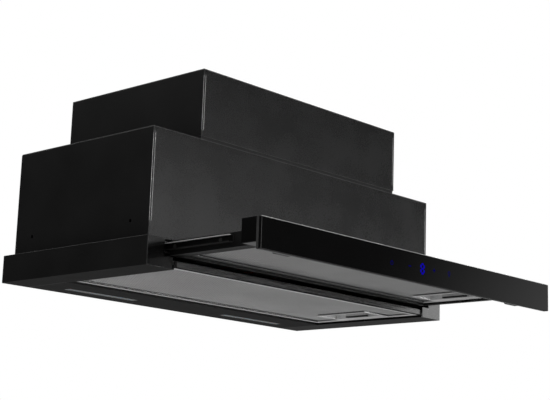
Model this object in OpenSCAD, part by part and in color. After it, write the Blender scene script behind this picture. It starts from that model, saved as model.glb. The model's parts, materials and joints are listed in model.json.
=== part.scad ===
// Pull-out (telescopic) range hood, 60 cm, seen with its filter tray pulled out.
// Millimetres, +Z up, +Y to the rear, +X to the right of someone facing the hood.
// The origin is on the seating plane (the top of the ledge that meets the underside of the
// cabinet), on the centre line, in the middle of the ledge's front strip.

/* [Canopy] */
// Width of the canopy and of the pull-out front
hood_w = 598; // [560:1:640]
// Height of the canopy below the cabinet
canopy_h = 37.5; // [36:0.5:46]
// Depth of the ledge in front of the casing
ledge_front = 16.5; // [12:0.5:24]
// Width of the ledge beside the casing
ledge_side = 15; // [10:0.5:17]
// Depth of the ledge behind the casing
ledge_rear = 4; // [3:0.5:12]
// Thickness of the sheet steel
sheet = 1; // [0.8:0.1:1.2]
// Width of the front cheek at each end of the canopy
cheek_w = 28.5; // [26:0.5:32]
// Width of the bottom strip beside the rear filter
strip_w = 46; // [44:0.5:52]
// Height of the upturned lips that the filters hook over
lip_h = 6; // [5:0.5:7]
// Height of the bar across the front of the canopy
crossbar_h = 8; // [7:0.5:10]
// How far that bar sits above the canopy's underside
crossbar_up = 2.3; // [0:0.1:3]
// Thickness of the bar across the front of the canopy
crossbar_t = 2; // [1.5:0.5:3]

/* [Casing] */
// Depth of the casing and of the motor box
casing_d = 271.5; // [262:0.5:300]
// Height of the casing above the cabinet's underside
casing_h = 144; // [136:1:160]
// Width of the motor box
box_w = 403; // [390:1:420]
// Height of the motor box
box_h = 91; // [85:1:110]
// Height of the shadow gap between the casing and the motor box
seam_h = 4; // [3:0.5:6]
// How far the rim on the casing reaches up inside the motor box
rim_up = 8; // [5:1:12]
// Width of the folded flanges
flange = 12; // [10:1:14]
// Gap at the vertical joints of the front panels
joint_gap = 0.5; // [0.3:0.1:1]
// Width of the side panels' returns that show at the front corners
return_w = 3; // [3:0.5:8]
// Height of the casing's returns above its lower edge
return_low = 22; // [10:1:40]
// Distance of the returns from the upper edge
return_high = 8; // [5:0.5:15]
// Distance between the two side fixing holes
fix_spacing = 200; // [160:5:220]
// Height of the side fixing holes above the seating plane
fix_up = 25; // [20:1:40]
// Diameter of the side fixing holes
fix_hole_d = 4.5; // [4:0.1:5.5]

/* [Lamps] */
// Depth of the lamp panel behind the rear filter
lamp_panel_d = 84.5; // [70:0.5:90]
// Height of the lamp panel's front flange
lamp_flange_h = 12; // [10:1:14]
// Length of each lamp lens
lens_l = 126; // [110:1:150]
// Width of each lamp lens
lens_w = 12; // [9:0.5:18]
// Distance of each lens centre from the centre line
lens_x = 152; // [130:1:165]
// Distance of the lens centre line from the rear of the canopy
lens_in = 35; // [20:0.5:40]
// Thickness of the lens
lens_t = 1.5; // [1.2:0.1:2.5]
// Height from the lens to its lamp board
lens_post_h = 5; // [4:0.5:8]

/* [Outlet] */
// Outer diameter of the outlet collar
collar_d = 150; // [140:1:152]
// Wall of the outlet collar
collar_wall = 2; // [1.6:0.1:2.4]
// Height of the outlet collar above the motor box
collar_up = 25; // [18:1:28]
// Width of the collar's base flange outside the collar
collar_flange = 12; // [10:1:16]
// Thickness of the collar's base flange
collar_base_t = 2; // [1.5:0.1:3]
// Diameter of the flap pin
flap_pin_d = 3; // [2.5:0.1:4]
// Thickness of the flaps
flap_t = 1.5; // [1.2:0.1:2]

/* [Blower] */
// Diameter of the impeller
fan_d = 150; // [140:1:156]
// Width of the impeller
fan_w = 170; // [140:1:180]
// Radial length of the impeller's blades
blade_l = 15; // [12:0.5:18]
// Number of blades
blade_n = 40; // [30:1:48]
// Distance between the scroll's side plates
scroll_w = 190; // [186:1:210]
// Gap between the impeller and the scroll's tongue
tongue_gap = 7; // [5:0.5:9]
// How much the scroll widens from the tongue to the outlet
scroll_growth = 31; // [26:1:34]
// Angle of the tongue above the horizontal
tongue_a = 75; // [70:1:80]
// Height of the scroll above the seating plane
scroll_under = 7; // [4:1:14]
// Gap between the scroll and the casing's front
scroll_front = 6; // [4:1:12]
// Diameter of the motor
motor_d = 76; // [68:1:84]
// Length of the motor
motor_l = 66; // [56:1:68]
// Diameter of the motor shaft
shaft_d = 8; // [7:0.5:10]
// Distance of the motor's fixing bolts from the edge of the inlet
bolt_in = 8; // [6:0.5:10]
// Thickness of the rubber grommets
grommet_t = 2; // [1.5:0.5:4]

/* [Control box] */
// Width of the control box
ctrl_w = 64; // [60:1:66]
// Length of the control box
ctrl_l = 140; // [132:1:150]
// Height of the control box
ctrl_h = 40; // [38:1:50]
// Wall of the control box
ctrl_wall = 1.5; // [1.2:0.1:2.5]
// Distance of the control box from the rear of the casing
ctrl_rear = 20; // [16:1:30]
// Bore of the cable gland
gland_bore_d = 9; // [7:0.5:11]
// Thread diameter of the cable gland
gland_d = 16; // [14:0.5:20]
// Diameter of the run capacitor
capacitor_d = 26; // [22:1:28]
// Length of the run capacitor
capacitor_l = 52; // [44:1:54]

/* [Slides] */
// Height of the ball-bearing slides
slide_h = 17; // [16:0.5:18]
// Width of the ball-bearing slides
slide_t = 12.5; // [12:0.1:13]
// Length of the slide's outer member
slide_l = 250; // [235:1:255]
// Length of the slide's inner member
inner_l = 200; // [190:1:204]
// Distance from the pull-out front to the inner member
inner_in = 53; // [48:0.5:58]
// Diameter of the balls
ball_d = 2.8; // [2.6:0.1:2.9]
// Number of balls in each row
ball_n = 8; // [6:1:9]
// Length of the ball cage
cage_l = 84; // [80:1:88]

/* [Tray] */
// How far the tray slides
tray_travel = 158; // [150:1:160]
// Gap between the front and the canopy when shut
shut_gap = 1.5; // [1:0.1:3]
// Length of the magnet on the tray
magnet_l = 12; // [8:1:16]
// Height of the magnet and of its sensor
magnet_h = 9; // [7:0.5:11]
// Thickness of the magnet
magnet_t = 5; // [3:0.5:6]
// Length of the sensor
sensor_l = 16; // [12:1:20]
// Width of the sensor
sensor_w = 12; // [9:0.5:12]
// Height of the tray's side walls
tray_h = 19; // [18:0.5:19.5]
// Depth of the filter opening in the tray
tray_open_d = 150; // [140:1:154]
// Width of the tray in front of the filter opening
tray_front_border = 5; // [4:0.5:8]
// Width of the tray behind the filter opening
tray_rear_border = 8; // [6:0.5:10]
// Width of the tray to the left of the filter opening
tray_left_border = 16; // [12:0.5:20]
// Width of the tray to the right of the filter opening
tray_right_border = 6.5; // [6:0.5:12]
// How far the tray's arms reach behind the canopy's front when the tray is out
arm_reach = 96; // [94:0.5:98]

/* [Pull-out front] */
// Height of the glass
glass_h = 38; // [36:0.5:44]
// Thickness of the glass
glass_t = 4; // [3:0.5:5]
// Height of the glass's top edge above the seating plane
glass_up = 2.4; // [1:0.1:4]
// Thickness of the carrier behind the glass
carrier_t = 4; // [3:0.5:5]
// Depth of the hollow rail behind the carrier
rail_d = 23.7; // [20:0.1:26]
// Height of the hollow rail
rail_h = 29.2; // [27:0.1:31]
// Wall of the hollow rail
rail_wall = 1.5; // [1.2:0.1:2]
// Thickness of the end caps
cap_t = 3; // [2:0.5:4]
// Length of the touch board
touch_l = 150; // [145:1:180]
// Height of the touch board
touch_h = 16; // [14:0.5:18]
// Distance of the rubber bumpers from the centre line
bumper_x = 239; // [220:1:250]
// Length of the rubber bumpers
bumper_l = 26; // [20:1:30]

/* [Filters] */
// How far the filters sit above the sheet around them
filter_recess = 3; // [2.5:0.1:3.5]
// Height of the filter frames
filter_h = 9; // [8.5:0.1:10]
// Width of the filter frame's bars
frame_bar = 8; // [7:0.5:10]
// Wall of the filter frame's bars
frame_wall = 1.2; // [1:0.1:1.4]
// Gap at the filter's left and right ends
filter_end_gap = 2; // [1.8:0.1:2.4]
// Gap at the filter's front and rear
filter_gap = 1; // [0.8:0.1:1.5]
// Length of the finger pocket, left to right
pocket_l = 38; // [34:1:42]
// Width of the finger pocket, front to rear
pocket_w = 88; // [70:1:88]
// Distance of the finger pocket from the filter's right end
pocket_in = 20; // [19:0.5:22]
// Width of the latch's tongue
tongue_w = 12; // [10:0.5:14]
// Reach of the latch's tongue past the lip
tongue_reach = 2.5; // [2:0.1:3]

/* [Hidden] */
$fn = 64;
eps = 0.01;

// Clearances
run_gap = 0.05;
weld_gap = 0.05;
fit_gap = 0.2;
easy_gap = 0.5;

// Canopy and casing faces
half_w = hood_w / 2;
casing_x = half_w - ledge_side;
casing_y0 = ledge_front / 2;
casing_y1 = casing_y0 + casing_d;
front_y = casing_y0 - ledge_front;
rear_y = casing_y1 + ledge_rear;
skirt_y = rear_y - sheet;
floor_z = -canopy_h;
web_x = half_w - cheek_w;
lip_x = half_w - strip_w;
lamp_y0 = skirt_y - lamp_panel_d;
lamp_joint_x = lip_x + 4;
box_x = box_w / 2;
box_z0 = casing_h + seam_h;
box_top = box_z0 + box_h;
inner_y1 = casing_y1 - sheet;
shoulder_z = casing_h - sheet;
fix_y = (casing_y0 + casing_y1) / 2;

// Lamps
lens_y = rear_y - lens_in;
lens_rim = 3;
lens_top = floor_z + sheet + lens_t;
board_z = lens_top + lens_post_h;
board_t = 1.2;

// Slides
slide_z = -sheet - slide_h / 2;
tray_x = web_x - slide_t;
slide_y0 = front_y + 1.25;
slide_y1 = slide_y0 + slide_l;
member_t = 1;
race_h = 3;
inner_half_h = slide_h / 2 - member_t - race_h;
inner_flange_w = 8;
inner_flange_x = tray_x + inner_flange_w;
slide_flange_x = tray_x + 2;
row_z = inner_half_h + race_h / 2;
rivet_in = 20;
rivet_r = 2.6;
rivet_head = 1.4;
cage_x0 = inner_flange_x + 0.3;
slide_screw_ys = [for (f = [0.08, 0.5, 0.92]) slide_y0 + f * slide_l];

// Tray and pull-out front, with the tray out
panel_y1 = front_y - shut_gap - tray_travel;
rail_y0 = panel_y1 - rail_d;
carrier_y0 = rail_y0 - carrier_t;
glass_y0 = carrier_y0 - glass_t;
glass_z1 = glass_up;
glass_z0 = glass_z1 - glass_h;
rail_z0 = glass_z1 - rail_h;
tray_top_z = -sheet - easy_gap;
tray_z0 = tray_top_z - tray_h;
open_y0 = panel_y1 + tray_front_border;
open_y1 = open_y0 + tray_open_d;
open_x0 = -tray_x + tray_left_border;
open_x1 = tray_x - tray_right_border;
tray_back_y = open_y1 + tray_rear_border;
arm_y1 = front_y + arm_reach;
slide_inner_y0 = panel_y1 + inner_in;
slide_inner_y1 = slide_inner_y0 + inner_l;
cage_y0 = (slide_y0 + slide_inner_y1 - cage_l) / 2;
touch_z = rail_z0 + rail_wall + easy_gap + touch_h / 2;
window_in = 2;
touch_board_t = 1.6;

// Filters: [x0, x1, y0, y1, z0] of the rear and the front one
rear_filter = [
  -lip_x + filter_end_gap, lip_x - filter_end_gap,
  front_y + crossbar_t + filter_gap, lamp_y0 - filter_gap,
  floor_z + filter_recess
];
front_filter = [
  open_x0 + filter_end_gap, open_x1 - filter_end_gap,
  open_y0 + filter_gap, open_y1 - filter_gap,
  tray_z0 + filter_recess
];
function latch_y(f) = (f[2] + f[3]) / 2;
hook_up = lip_h - filter_recess;
tab_t = 1.2;
tab_w = 20;
tab_reach = 4;
tab_in = 40;
pocket_rim = 4;
bar_t = 6;
bar_l = 40;
tongue_t = 2.5;
guide_gap = 0.3;
seat_in = 10;
seat_t = 2;
spring_y = 11;
spring_r = 1.9;
spring_wire_r = 0.3;
spring_turns = 5;
mesh_t = 0.6;
layer_t = 0.3;
notch_gap = 0.6;

// Blower
function scroll_r(a) = fan_d / 2 + tongue_gap + scroll_growth * (a - tongue_a) / (360 - tongue_a);
fan_y = casing_y0 + sheet + scroll_front + sheet + scroll_r(180);
fan_z = scroll_under + sheet + scroll_r(270);
scroll_steps = 38;
scroll_angles = [for (i = [0:scroll_steps]) tongue_a + i * (360 - tongue_a) / scroll_steps];
function scroll_at(a, out) = [fan_y + (scroll_r(a) + out) * cos(a), fan_z + (scroll_r(a) + out) * sin(a)];
scroll_top = box_top - sheet;
scroll_y1 = fan_y + scroll_r(360);
collar_y = scroll_y1 - collar_d / 2;
mouth_y0 = collar_y - collar_d / 2;
mouth_shift = 1.3 * sheet;
plate_x = scroll_w / 2;
inlet_r = fan_d / 2 - blade_l;
hub_r = 12;
hub_x0 = -8;
hub_x1 = 14;
bell_t = 6;
motor_x1 = hub_x0 - 4 - bell_t;
motor_x0 = motor_x1 - motor_l;
bracket_x1 = -plate_x - sheet - grommet_t;
bracket_r = inlet_r + bolt_in;
bracket_t = 1.5;
bolt_d = 4;
bracket_angles = [30, 150, 270];

// Outlet
collar_r = collar_d / 2;
collar_in_r = collar_r - collar_wall;
stop_r = collar_in_r - 2.5;
flap_r = collar_in_r - 1;
flap_skin = 0.1;
knuckle_r = flap_pin_d / 2 + 1.1;
flap_z = box_top + collar_base_t + fit_gap + flap_t + flap_skin;
front_knuckles = [[-60, -40], [-10, 10], [40, 60]];
rear_knuckles = [[-39, -11], [11, 39]];

// Control box
ctrl_x1 = casing_x - flange - 1;
ctrl_x0 = ctrl_x1 - ctrl_w;
ctrl_y1 = inner_y1 - ctrl_rear;
ctrl_y0 = ctrl_y1 - ctrl_l;
ctrl_z1 = shoulder_z;
ctrl_z0 = ctrl_z1 - ctrl_h;
cover_t = 1.5;
gland_x = (box_x + casing_x) / 2;
gland_y = ctrl_y1 - 20;
gland_flange_t = 5;
gland_nut_h = 5;
capacitor_in = 14;
capacitor_cap = 3;
relay_w = 12;
relay_l = 11;
relay_h = 12;
relay_pitch = 14;
transformer_l = 22;
transformer_h = 16;
socket_w = 6;
socket_h = 8;
part_in = 3;
terminal_rear = 28;
terminal_l = 18;
terminal_h = 15;
pole_pitch = 9;
pole_in = 5;
cover_in = 5;
post_r = 4;
pcb_t = 1.6;
pcb_z0 = ctrl_z1 - ctrl_wall - 7 - pcb_t;
pcb_w = 26;
pcb_l = 80;
pcb_x1 = ctrl_x1 - ctrl_wall - 1;
pcb_y0 = ctrl_y0 + cover_in + post_r + easy_gap;
driver_w = 50;
driver_l = 84;
driver_h = 22;

// Screws
screw_d = 3;
screw_hole_d = 3.2;
screw_l = 5;
panel_screw_zs = [30, 0.76 * casing_h];
top_screw_ys = [casing_y0 + 40, casing_y1 - 40];
cover_screws = [
  [ctrl_x0 + cover_in, ctrl_y0 + cover_in], [ctrl_x1 - cover_in, ctrl_y0 + cover_in],
  [ctrl_x0 + cover_in, ctrl_y1 - cover_in], [ctrl_x1 - cover_in, ctrl_y1 - cover_in]
];

// Colours
black_paint = [0.09, 0.09, 0.095];
dark_paint = [0.13, 0.13, 0.135];
black_plastic = [0.06, 0.06, 0.065];
glass_black = [0.03, 0.03, 0.035];
bright_alu = [0.72, 0.72, 0.72];
mesh_alu = [0.5, 0.5, 0.5];
zinc = [0.62, 0.63, 0.65];
steel = [0.7, 0.7, 0.72];
lens_grey = [0.55, 0.56, 0.58];
board_green = [0.1, 0.32, 0.2];
white_plastic = [0.85, 0.85, 0.83];
rubber_black = [0.05, 0.05, 0.05];
grey_plastic = [0.35, 0.36, 0.38];

// ---- Helpers ----

// A block between two opposite corners
module slab(a, b) {
  translate(a) cube(b - a);
}

// A cylinder along X, Y or Z from one end to the other
module rod_x(x0, x1, y, z, r) {
  translate([x0, y, z]) rotate([0, 90, 0]) cylinder(h = x1 - x0, r = r);
}

module rod_y(y0, y1, x, z, r) {
  translate([x, y1, z]) rotate([90, 0, 0]) cylinder(h = y1 - y0, r = r);
}

module rod_z(z0, z1, x, y, r) {
  translate([x, y, z0]) cylinder(h = z1 - z0, r = r);
}

// A flat outline in the Y-Z plane, thickened along X
module plate_yz(x0, x1) {
  translate([x0, 0, 0]) rotate([90, 0, 90]) linear_extrude(height = x1 - x0) children();
}

// The left-hand version of a right-hand piece
module left_hand() {
  mirror([1, 0, 0]) children();
}

module both_hands() {
  children();
  left_hand() children();
}

// ---- Canopy ----

// The gap in a lip and its sheet that lets the latch's tongue pass when the filter swings down
module tongue_notch(x, y, z) {
  reach = tongue_reach + notch_gap;
  wide = tongue_w / 2 + notch_gap;
  slab([x - eps, y - wide, z - eps], [x + reach, y + wide, z + lip_h + eps]);
}

module side_channel() {
  slab([half_w - sheet, front_y, floor_z], [half_w, skirt_y, 0]);
  slab([lip_x, front_y, -sheet], [half_w, skirt_y, 0]);
  slab([web_x, front_y, floor_z], [half_w, front_y + sheet, 0]);
  slab([lip_x, front_y, floor_z], [lip_x + sheet, lamp_y0, floor_z + lip_h]);
  slab([lip_x, front_y, floor_z], [half_w, lamp_y0, floor_z + sheet]);
  slab([lamp_joint_x, front_y, floor_z], [half_w, skirt_y, floor_z + sheet]);
  difference() {
    slab([web_x, front_y, floor_z], [web_x + sheet, skirt_y, 0]);
    for (y = slide_screw_ys) rod_x(web_x - eps, web_x + sheet + eps, y, slide_z, screw_hole_d / 2);
  }
}

module side_channel_left() {
  color(black_paint) left_hand() side_channel();
}

module side_channel_right() {
  color(black_paint) difference() {
    side_channel();
    tongue_notch(lip_x, latch_y(rear_filter), floor_z);
  }
}

module front_crossbar() {
  z0 = floor_z + crossbar_up;
  color(black_paint) slab([-lip_x, front_y, z0], [lip_x, front_y + crossbar_t, z0 + crossbar_h]);
}

// The front strip of the seating ledge, which butts against the casing's front panel
module front_ledge() {
  color(black_paint) slab([-lip_x, front_y, -sheet], [lip_x, casing_y0, 0]);
}

module rear_skirt() {
  color(black_paint) {
    slab([-half_w, skirt_y, floor_z], [half_w, rear_y, 0]);
    slab([-lip_x, casing_y1 - flange, -sheet], [lip_x, rear_y, 0]);
    slab([-lip_x, rear_y - flange, floor_z + sheet], [lip_x, rear_y, floor_z + 2 * sheet]);
  }
}

// ---- Lamps ----

module at_lamps() {
  for (side = [-1, 1]) translate([side * lens_x, lens_y, 0]) children();
}

module lamp_panel() {
  edge = lamp_joint_x - easy_gap;
  color(black_paint) difference() {
    union() {
      slab([-edge, lamp_y0, floor_z], [edge, skirt_y, floor_z + sheet]);
      slab([-edge, lamp_y0, floor_z], [edge, lamp_y0 + sheet, floor_z + lamp_flange_h]);
      both_hands() slab([edge - flange, lamp_y0 + flange, floor_z + sheet],
        [edge + flange, skirt_y - 2 * flange, floor_z + 2 * sheet]);
    }
    at_lamps() slab([-lens_l / 2 - fit_gap, -lens_w / 2 - fit_gap, floor_z - eps],
      [lens_l / 2 + fit_gap, lens_w / 2 + fit_gap, floor_z + sheet + eps]);
  }
}

// Each lens drops into its slot and rests on a rim; posts at its ends carry the lamp board
module lamp_lenses() {
  color(lens_grey) at_lamps() {
    slab([-lens_l / 2, -lens_w / 2, floor_z + 0.2], [lens_l / 2, lens_w / 2, lens_top]);
    slab([-lens_l / 2 - lens_rim, -lens_w / 2 - lens_rim, floor_z + sheet],
      [lens_l / 2 + lens_rim, lens_w / 2 + lens_rim, lens_top]);
    both_hands() slab([lens_l / 2 - 3, -lens_w / 2, lens_top - eps], [lens_l / 2, lens_w / 2, board_z]);
  }
}

module lamp_boards() {
  led_n = 12;
  led_pitch = (lens_l - 14) / (led_n - 1);
  color(board_green) at_lamps() {
    slab([-lens_l / 2, -lens_w / 2 + 1, board_z], [lens_l / 2, lens_w / 2 - 1, board_z + board_t]);
    for (i = [0:led_n - 1])
      translate([-lens_l / 2 + 7 + i * led_pitch, 0, board_z - 0.8])
        slab([-1.75, -1.4, 0], [1.75, 1.4, 0.8 + eps]);
  }
}

// ---- Casing ----

// A front panel between two heights, notched at both ends for the side panels' returns
module front_sheet(half_width, z0, z1, return_z0, return_z1) {
  edge = half_width - sheet - joint_gap;
  notch_x = half_width - return_w - joint_gap;
  difference() {
    slab([-edge, casing_y0, z0], [edge, casing_y0 + sheet, z1]);
    both_hands() slab([notch_x, casing_y0 - eps, return_z0 - joint_gap],
      [half_width, casing_y0 + sheet + eps, return_z1 + joint_gap]);
  }
}

module casing_side() {
  difference() {
    union() {
      slab([casing_x - sheet, casing_y0, 0], [casing_x, casing_y1, shoulder_z]);
      slab([casing_x - return_w, casing_y0, return_low],
        [casing_x, casing_y0 + sheet, casing_h - return_high]);
      slab([casing_x - flange, casing_y0 + sheet, 0],
        [casing_x, casing_y0 + 2 * sheet, shoulder_z]);
      slab([casing_x - flange, inner_y1 - sheet, 0], [casing_x, inner_y1, shoulder_z]);
      slab([casing_x - flange, casing_y0 + sheet, 0], [casing_x, inner_y1, sheet]);
      slab([casing_x - flange, casing_y0 + sheet, shoulder_z - sheet], [casing_x, inner_y1, shoulder_z]);
    }
    for (side = [-1, 1])
      rod_x(casing_x - sheet - eps, casing_x + eps, fix_y + side * fix_spacing / 2, fix_up, fix_hole_d / 2);
    for (z = panel_screw_zs)
      rod_y(inner_y1 - sheet - eps, inner_y1 + eps, casing_x - flange / 2, z, screw_hole_d / 2);
  }
}

module casing_side_left() {
  color(black_paint) left_hand() casing_side();
}

module casing_side_right() {
  color(black_paint) casing_side();
}

// Its lower edge is doubled by a hem and reaches down beside the ledge
module casing_front_panel() {
  color(dark_paint) {
    front_sheet(casing_x, 0, shoulder_z, return_low, casing_h - return_high);
    slab([-lip_x, casing_y0, -sheet], [lip_x, casing_y0 + 2 * sheet, flange]);
  }
}

// The two shoulders beside the motor box, and the rim between them that the motor box stands over
module casing_top_panels() {
  rim_x = box_x - sheet;
  color(black_paint) {
    difference() {
      both_hands() slab([rim_x + weld_gap, casing_y0, shoulder_z], [casing_x, inner_y1, casing_h]);
      rod_z(shoulder_z - eps, casing_h + eps, gland_x, gland_y, gland_d / 2 + fit_gap / 2);
    }
    difference() {
      union() {
        slab([-rim_x, casing_y0, shoulder_z], [rim_x, inner_y1, casing_h]);
        slab([-rim_x, casing_y0 + sheet, shoulder_z], [rim_x, inner_y1, box_z0 + rim_up]);
      }
      slab([-rim_x + sheet, casing_y0 + 2 * sheet, shoulder_z - eps],
        [rim_x - sheet, inner_y1 - sheet, box_z0 + rim_up + eps]);
    }
  }
}

// One sheet closes the rear of the casing and of the motor box
module rear_panel() {
  color(black_paint) difference() {
    union() {
      slab([-casing_x + sheet, inner_y1, 0], [casing_x - sheet, casing_y1, casing_h]);
      slab([-box_x + sheet, inner_y1, 0], [box_x - sheet, casing_y1, box_top - sheet]);
    }
    both_hands() for (z = panel_screw_zs)
      rod_y(inner_y1 - eps, casing_y1 + eps, casing_x - flange / 2, z, screw_hole_d / 2);
  }
}

// ---- Motor box ----

module motor_box_side() {
  fold_z = box_z0 + rim_up + 1;
  wall_top = box_top - sheet;
  difference() {
    union() {
      slab([box_x - sheet, casing_y0, box_z0], [box_x, casing_y1, wall_top]);
      slab([box_x - return_w, casing_y0, box_z0 + return_high],
        [box_x, casing_y0 + sheet, box_top - return_high]);
      slab([box_x - flange, casing_y0 + sheet, fold_z], [box_x, casing_y0 + 2 * sheet, wall_top]);
      slab([box_x - flange, inner_y1 - sheet, fold_z], [box_x, inner_y1, wall_top]);
      slab([box_x - flange, casing_y0 + sheet, wall_top - sheet], [box_x, inner_y1, wall_top]);
    }
    for (y = top_screw_ys)
      rod_z(wall_top - sheet - eps, wall_top + eps, box_x - flange / 2, y, screw_hole_d / 2);
  }
}

module motor_box_side_left() {
  color(black_paint) left_hand() motor_box_side();
}

module motor_box_side_right() {
  color(black_paint) motor_box_side();
}

module motor_box_front() {
  color(dark_paint)
    front_sheet(box_x, box_z0, box_top - sheet, box_z0 + return_high, box_top - return_high);
}

module motor_box_top() {
  color(black_paint) difference() {
    slab([-box_x, casing_y0, box_top - sheet], [box_x, casing_y1, box_top]);
    rod_z(box_top - sheet - eps, box_top + eps, 0, collar_y, stop_r);
    both_hands() for (y = top_screw_ys)
      rod_z(box_top - sheet - eps, box_top + eps, box_x - flange / 2, y, screw_hole_d / 2);
  }
}

// ---- Outlet and its non-return flaps ----

module outlet_collar() {
  color(black_plastic) difference() {
    union() {
      rod_z(box_top, box_top + collar_base_t, 0, collar_y, collar_r + collar_flange);
      rod_z(box_top, box_top + collar_up, 0, collar_y, collar_r);
    }
    rod_z(box_top - eps, box_top + collar_up, 0, collar_y, stop_r);
    rod_z(box_top + collar_base_t, box_top + collar_up + eps, 0, collar_y, collar_in_r);
    rod_x(-collar_r - eps, collar_r + eps, collar_y, flap_z, flap_pin_d / 2 + run_gap);
  }
}

module flap_pin() {
  color(steel) rod_x(-collar_r + easy_gap, collar_r - easy_gap, collar_y, flap_z, flap_pin_d / 2);
}

// A half disc with hinge knuckles round the pin and room for the other flap's knuckles
module flap(side, own, other) {
  difference() {
    union() {
      intersection() {
        translate([0, collar_y, flap_z - flap_t - flap_skin]) cylinder(h = flap_t, r = flap_r);
        translate([-flap_r, collar_y + (side > 0 ? 0.4 : -flap_r - 0.4), flap_z - 10])
          cube([2 * flap_r, flap_r, 20]);
      }
      for (k = own) rod_x(k[0], k[1], collar_y, flap_z, knuckle_r);
    }
    rod_x(-collar_r, collar_r, collar_y, flap_z, flap_pin_d / 2 + run_gap);
    for (k = other) rod_x(k[0] - easy_gap, k[1] + easy_gap, collar_y, flap_z, knuckle_r + 0.3);
  }
}

module flap_front() {
  color(black_plastic) flap(-1, front_knuckles, rear_knuckles);
}

module flap_rear() {
  color(black_plastic) flap(1, rear_knuckles, front_knuckles);
}

// ---- Blower ----

// The sheet that winds round the impeller and opens upwards into the collar
module scroll_wrapper() {
  tongue = scroll_at(tongue_a, 0);
  mouth = [mouth_y0, scroll_top];
  tongue_root = tongue + 0.12 * (mouth - tongue) - [mouth_shift, 0];
  color(zinc) plate_yz(-plate_x, plate_x) polygon(concat(
    [for (a = scroll_angles) scroll_at(a, 0)],
    [
      [scroll_y1, scroll_top], [scroll_y1 + flange, scroll_top],
      [scroll_y1 + flange, scroll_top - sheet], [scroll_y1 + sheet, scroll_top - sheet]
    ],
    [for (i = [scroll_steps:-1:1]) scroll_at(scroll_angles[i], sheet)],
    [
      tongue_root, [mouth_y0 - mouth_shift, scroll_top - sheet],
      [mouth_y0 - flange, scroll_top - sheet], [mouth_y0 - flange, scroll_top], mouth
    ]
  ));
}

module scroll_side() {
  difference() {
    plate_yz(plate_x, plate_x + sheet) polygon(concat(
      [for (a = scroll_angles) scroll_at(a, sheet)],
      [[scroll_y1 + sheet, scroll_top], [mouth_y0 - mouth_shift, scroll_top]]
    ));
    rod_x(plate_x - eps, plate_x + sheet + eps, fan_y, fan_z, inlet_r);
  }
  difference() {
    rod_x(plate_x - 6, plate_x + sheet, fan_y, fan_z, inlet_r + 1.5);
    rod_x(plate_x - 6 - eps, plate_x + sheet + eps, fan_y, fan_z, inlet_r);
  }
}

module at_bracket_bolts(x) {
  for (a = bracket_angles)
    translate([x, fan_y + bracket_r * cos(a), fan_z + bracket_r * sin(a)]) children();
}

module scroll_side_left() {
  color(zinc) difference() {
    left_hand() scroll_side();
    at_bracket_bolts(0) rod_x(-plate_x - sheet - eps, -plate_x + eps, 0, 0, bolt_d / 2 + 0.1);
  }
}

module scroll_side_right() {
  color(zinc) scroll_side();
}

// One forward-curved blade, as a thin outline in the plane across the shaft
module blade_outline() {
  steps = 4;
  inner = fan_d / 2 - blade_l;
  lean = 14;
  half_t = 0.45;
  radii = [for (i = [0:steps]) inner + 0.5 + (blade_l - 1) * i / steps];
  turns = [for (i = [0:steps]) lean * pow(i / steps, 1.6)];
  function at(r, a, side) = [r * cos(a) - side * sin(a), r * sin(a) + side * cos(a)];
  polygon(concat(
    [for (i = [0:steps]) at(radii[i], turns[i], half_t)],
    [for (i = [steps:-1:0]) at(radii[i], turns[i], -half_t)]
  ));
}

module impeller() {
  color(grey_plastic) translate([0, fan_y, fan_z]) difference() {
    union() {
      plate_yz(-fan_w / 2 + 1, fan_w / 2 - 1)
        for (i = [0:blade_n - 1]) rotate(i * 360 / blade_n) blade_outline();
      for (x = [-fan_w / 2, fan_w / 2 - 2]) difference() {
        rod_x(x, x + 2, 0, 0, fan_d / 2);
        rod_x(x - eps, x + 2 + eps, 0, 0, fan_d / 2 - blade_l);
      }
      rod_x(-1, 1, 0, 0, fan_d / 2);
      rod_x(hub_x0, hub_x1, 0, 0, hub_r);
    }
    rod_x(hub_x0 - eps, hub_x1 + eps, 0, 0, shaft_d / 2 + 0.02);
  }
}

module motor_shaft() {
  color(steel) rod_x(bracket_x1 - 2, hub_x1, fan_y, fan_z, shaft_d / 2);
}

module fan_motor() {
  bell_r = motor_d / 2 - 8;
  fin_n = 24;
  color(dark_paint) translate([0, fan_y, fan_z]) difference() {
    union() {
      rod_x(motor_x0, motor_x1, 0, 0, motor_d / 2 - 2);
      for (i = [0:fin_n - 1]) rotate([i * 360 / fin_n, 0, 0])
        slab([motor_x0 + 6, -1, motor_d / 2 - 4], [motor_x1 - 6, 1, motor_d / 2]);
      rod_x(motor_x1 - 1, motor_x1 + bell_t, 0, 0, bell_r);
      rod_x(bracket_x1, motor_x0 + 1, 0, 0, bell_r);
    }
    rod_x(bracket_x1 - eps, motor_x1 + bell_t + eps, 0, 0, shaft_d / 2 + run_gap);
  }
}

// Three arms carry the motor in the left inlet
module motor_bracket() {
  arm_w = 16;
  color(zinc) difference() {
    union() {
      rod_x(bracket_x1 - bracket_t, bracket_x1, fan_y, fan_z, 24);
      for (a = bracket_angles) translate([bracket_x1 - bracket_t, fan_y, fan_z]) rotate([a, 0, 0]) {
        slab([0, 0, -arm_w / 2], [bracket_t, bracket_r, arm_w / 2]);
        rod_x(0, bracket_t, bracket_r, 0, arm_w / 2);
      }
    }
    rod_x(bracket_x1 - bracket_t - eps, bracket_x1 + eps, fan_y, fan_z, shaft_d / 2 + 2);
    at_bracket_bolts(0)
      rod_x(bracket_x1 - bracket_t - eps, bracket_x1 + eps, 0, 0, bolt_d / 2 + 0.1);
  }
}

module motor_grommets() {
  color(rubber_black) at_bracket_bolts(0) difference() {
    rod_x(bracket_x1, bracket_x1 + grommet_t, 0, 0, 7);
    rod_x(bracket_x1 - eps, bracket_x1 + grommet_t + eps, 0, 0, bolt_d / 2 + 0.1);
  }
}

// ---- Control box and other electrics ----

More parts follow.
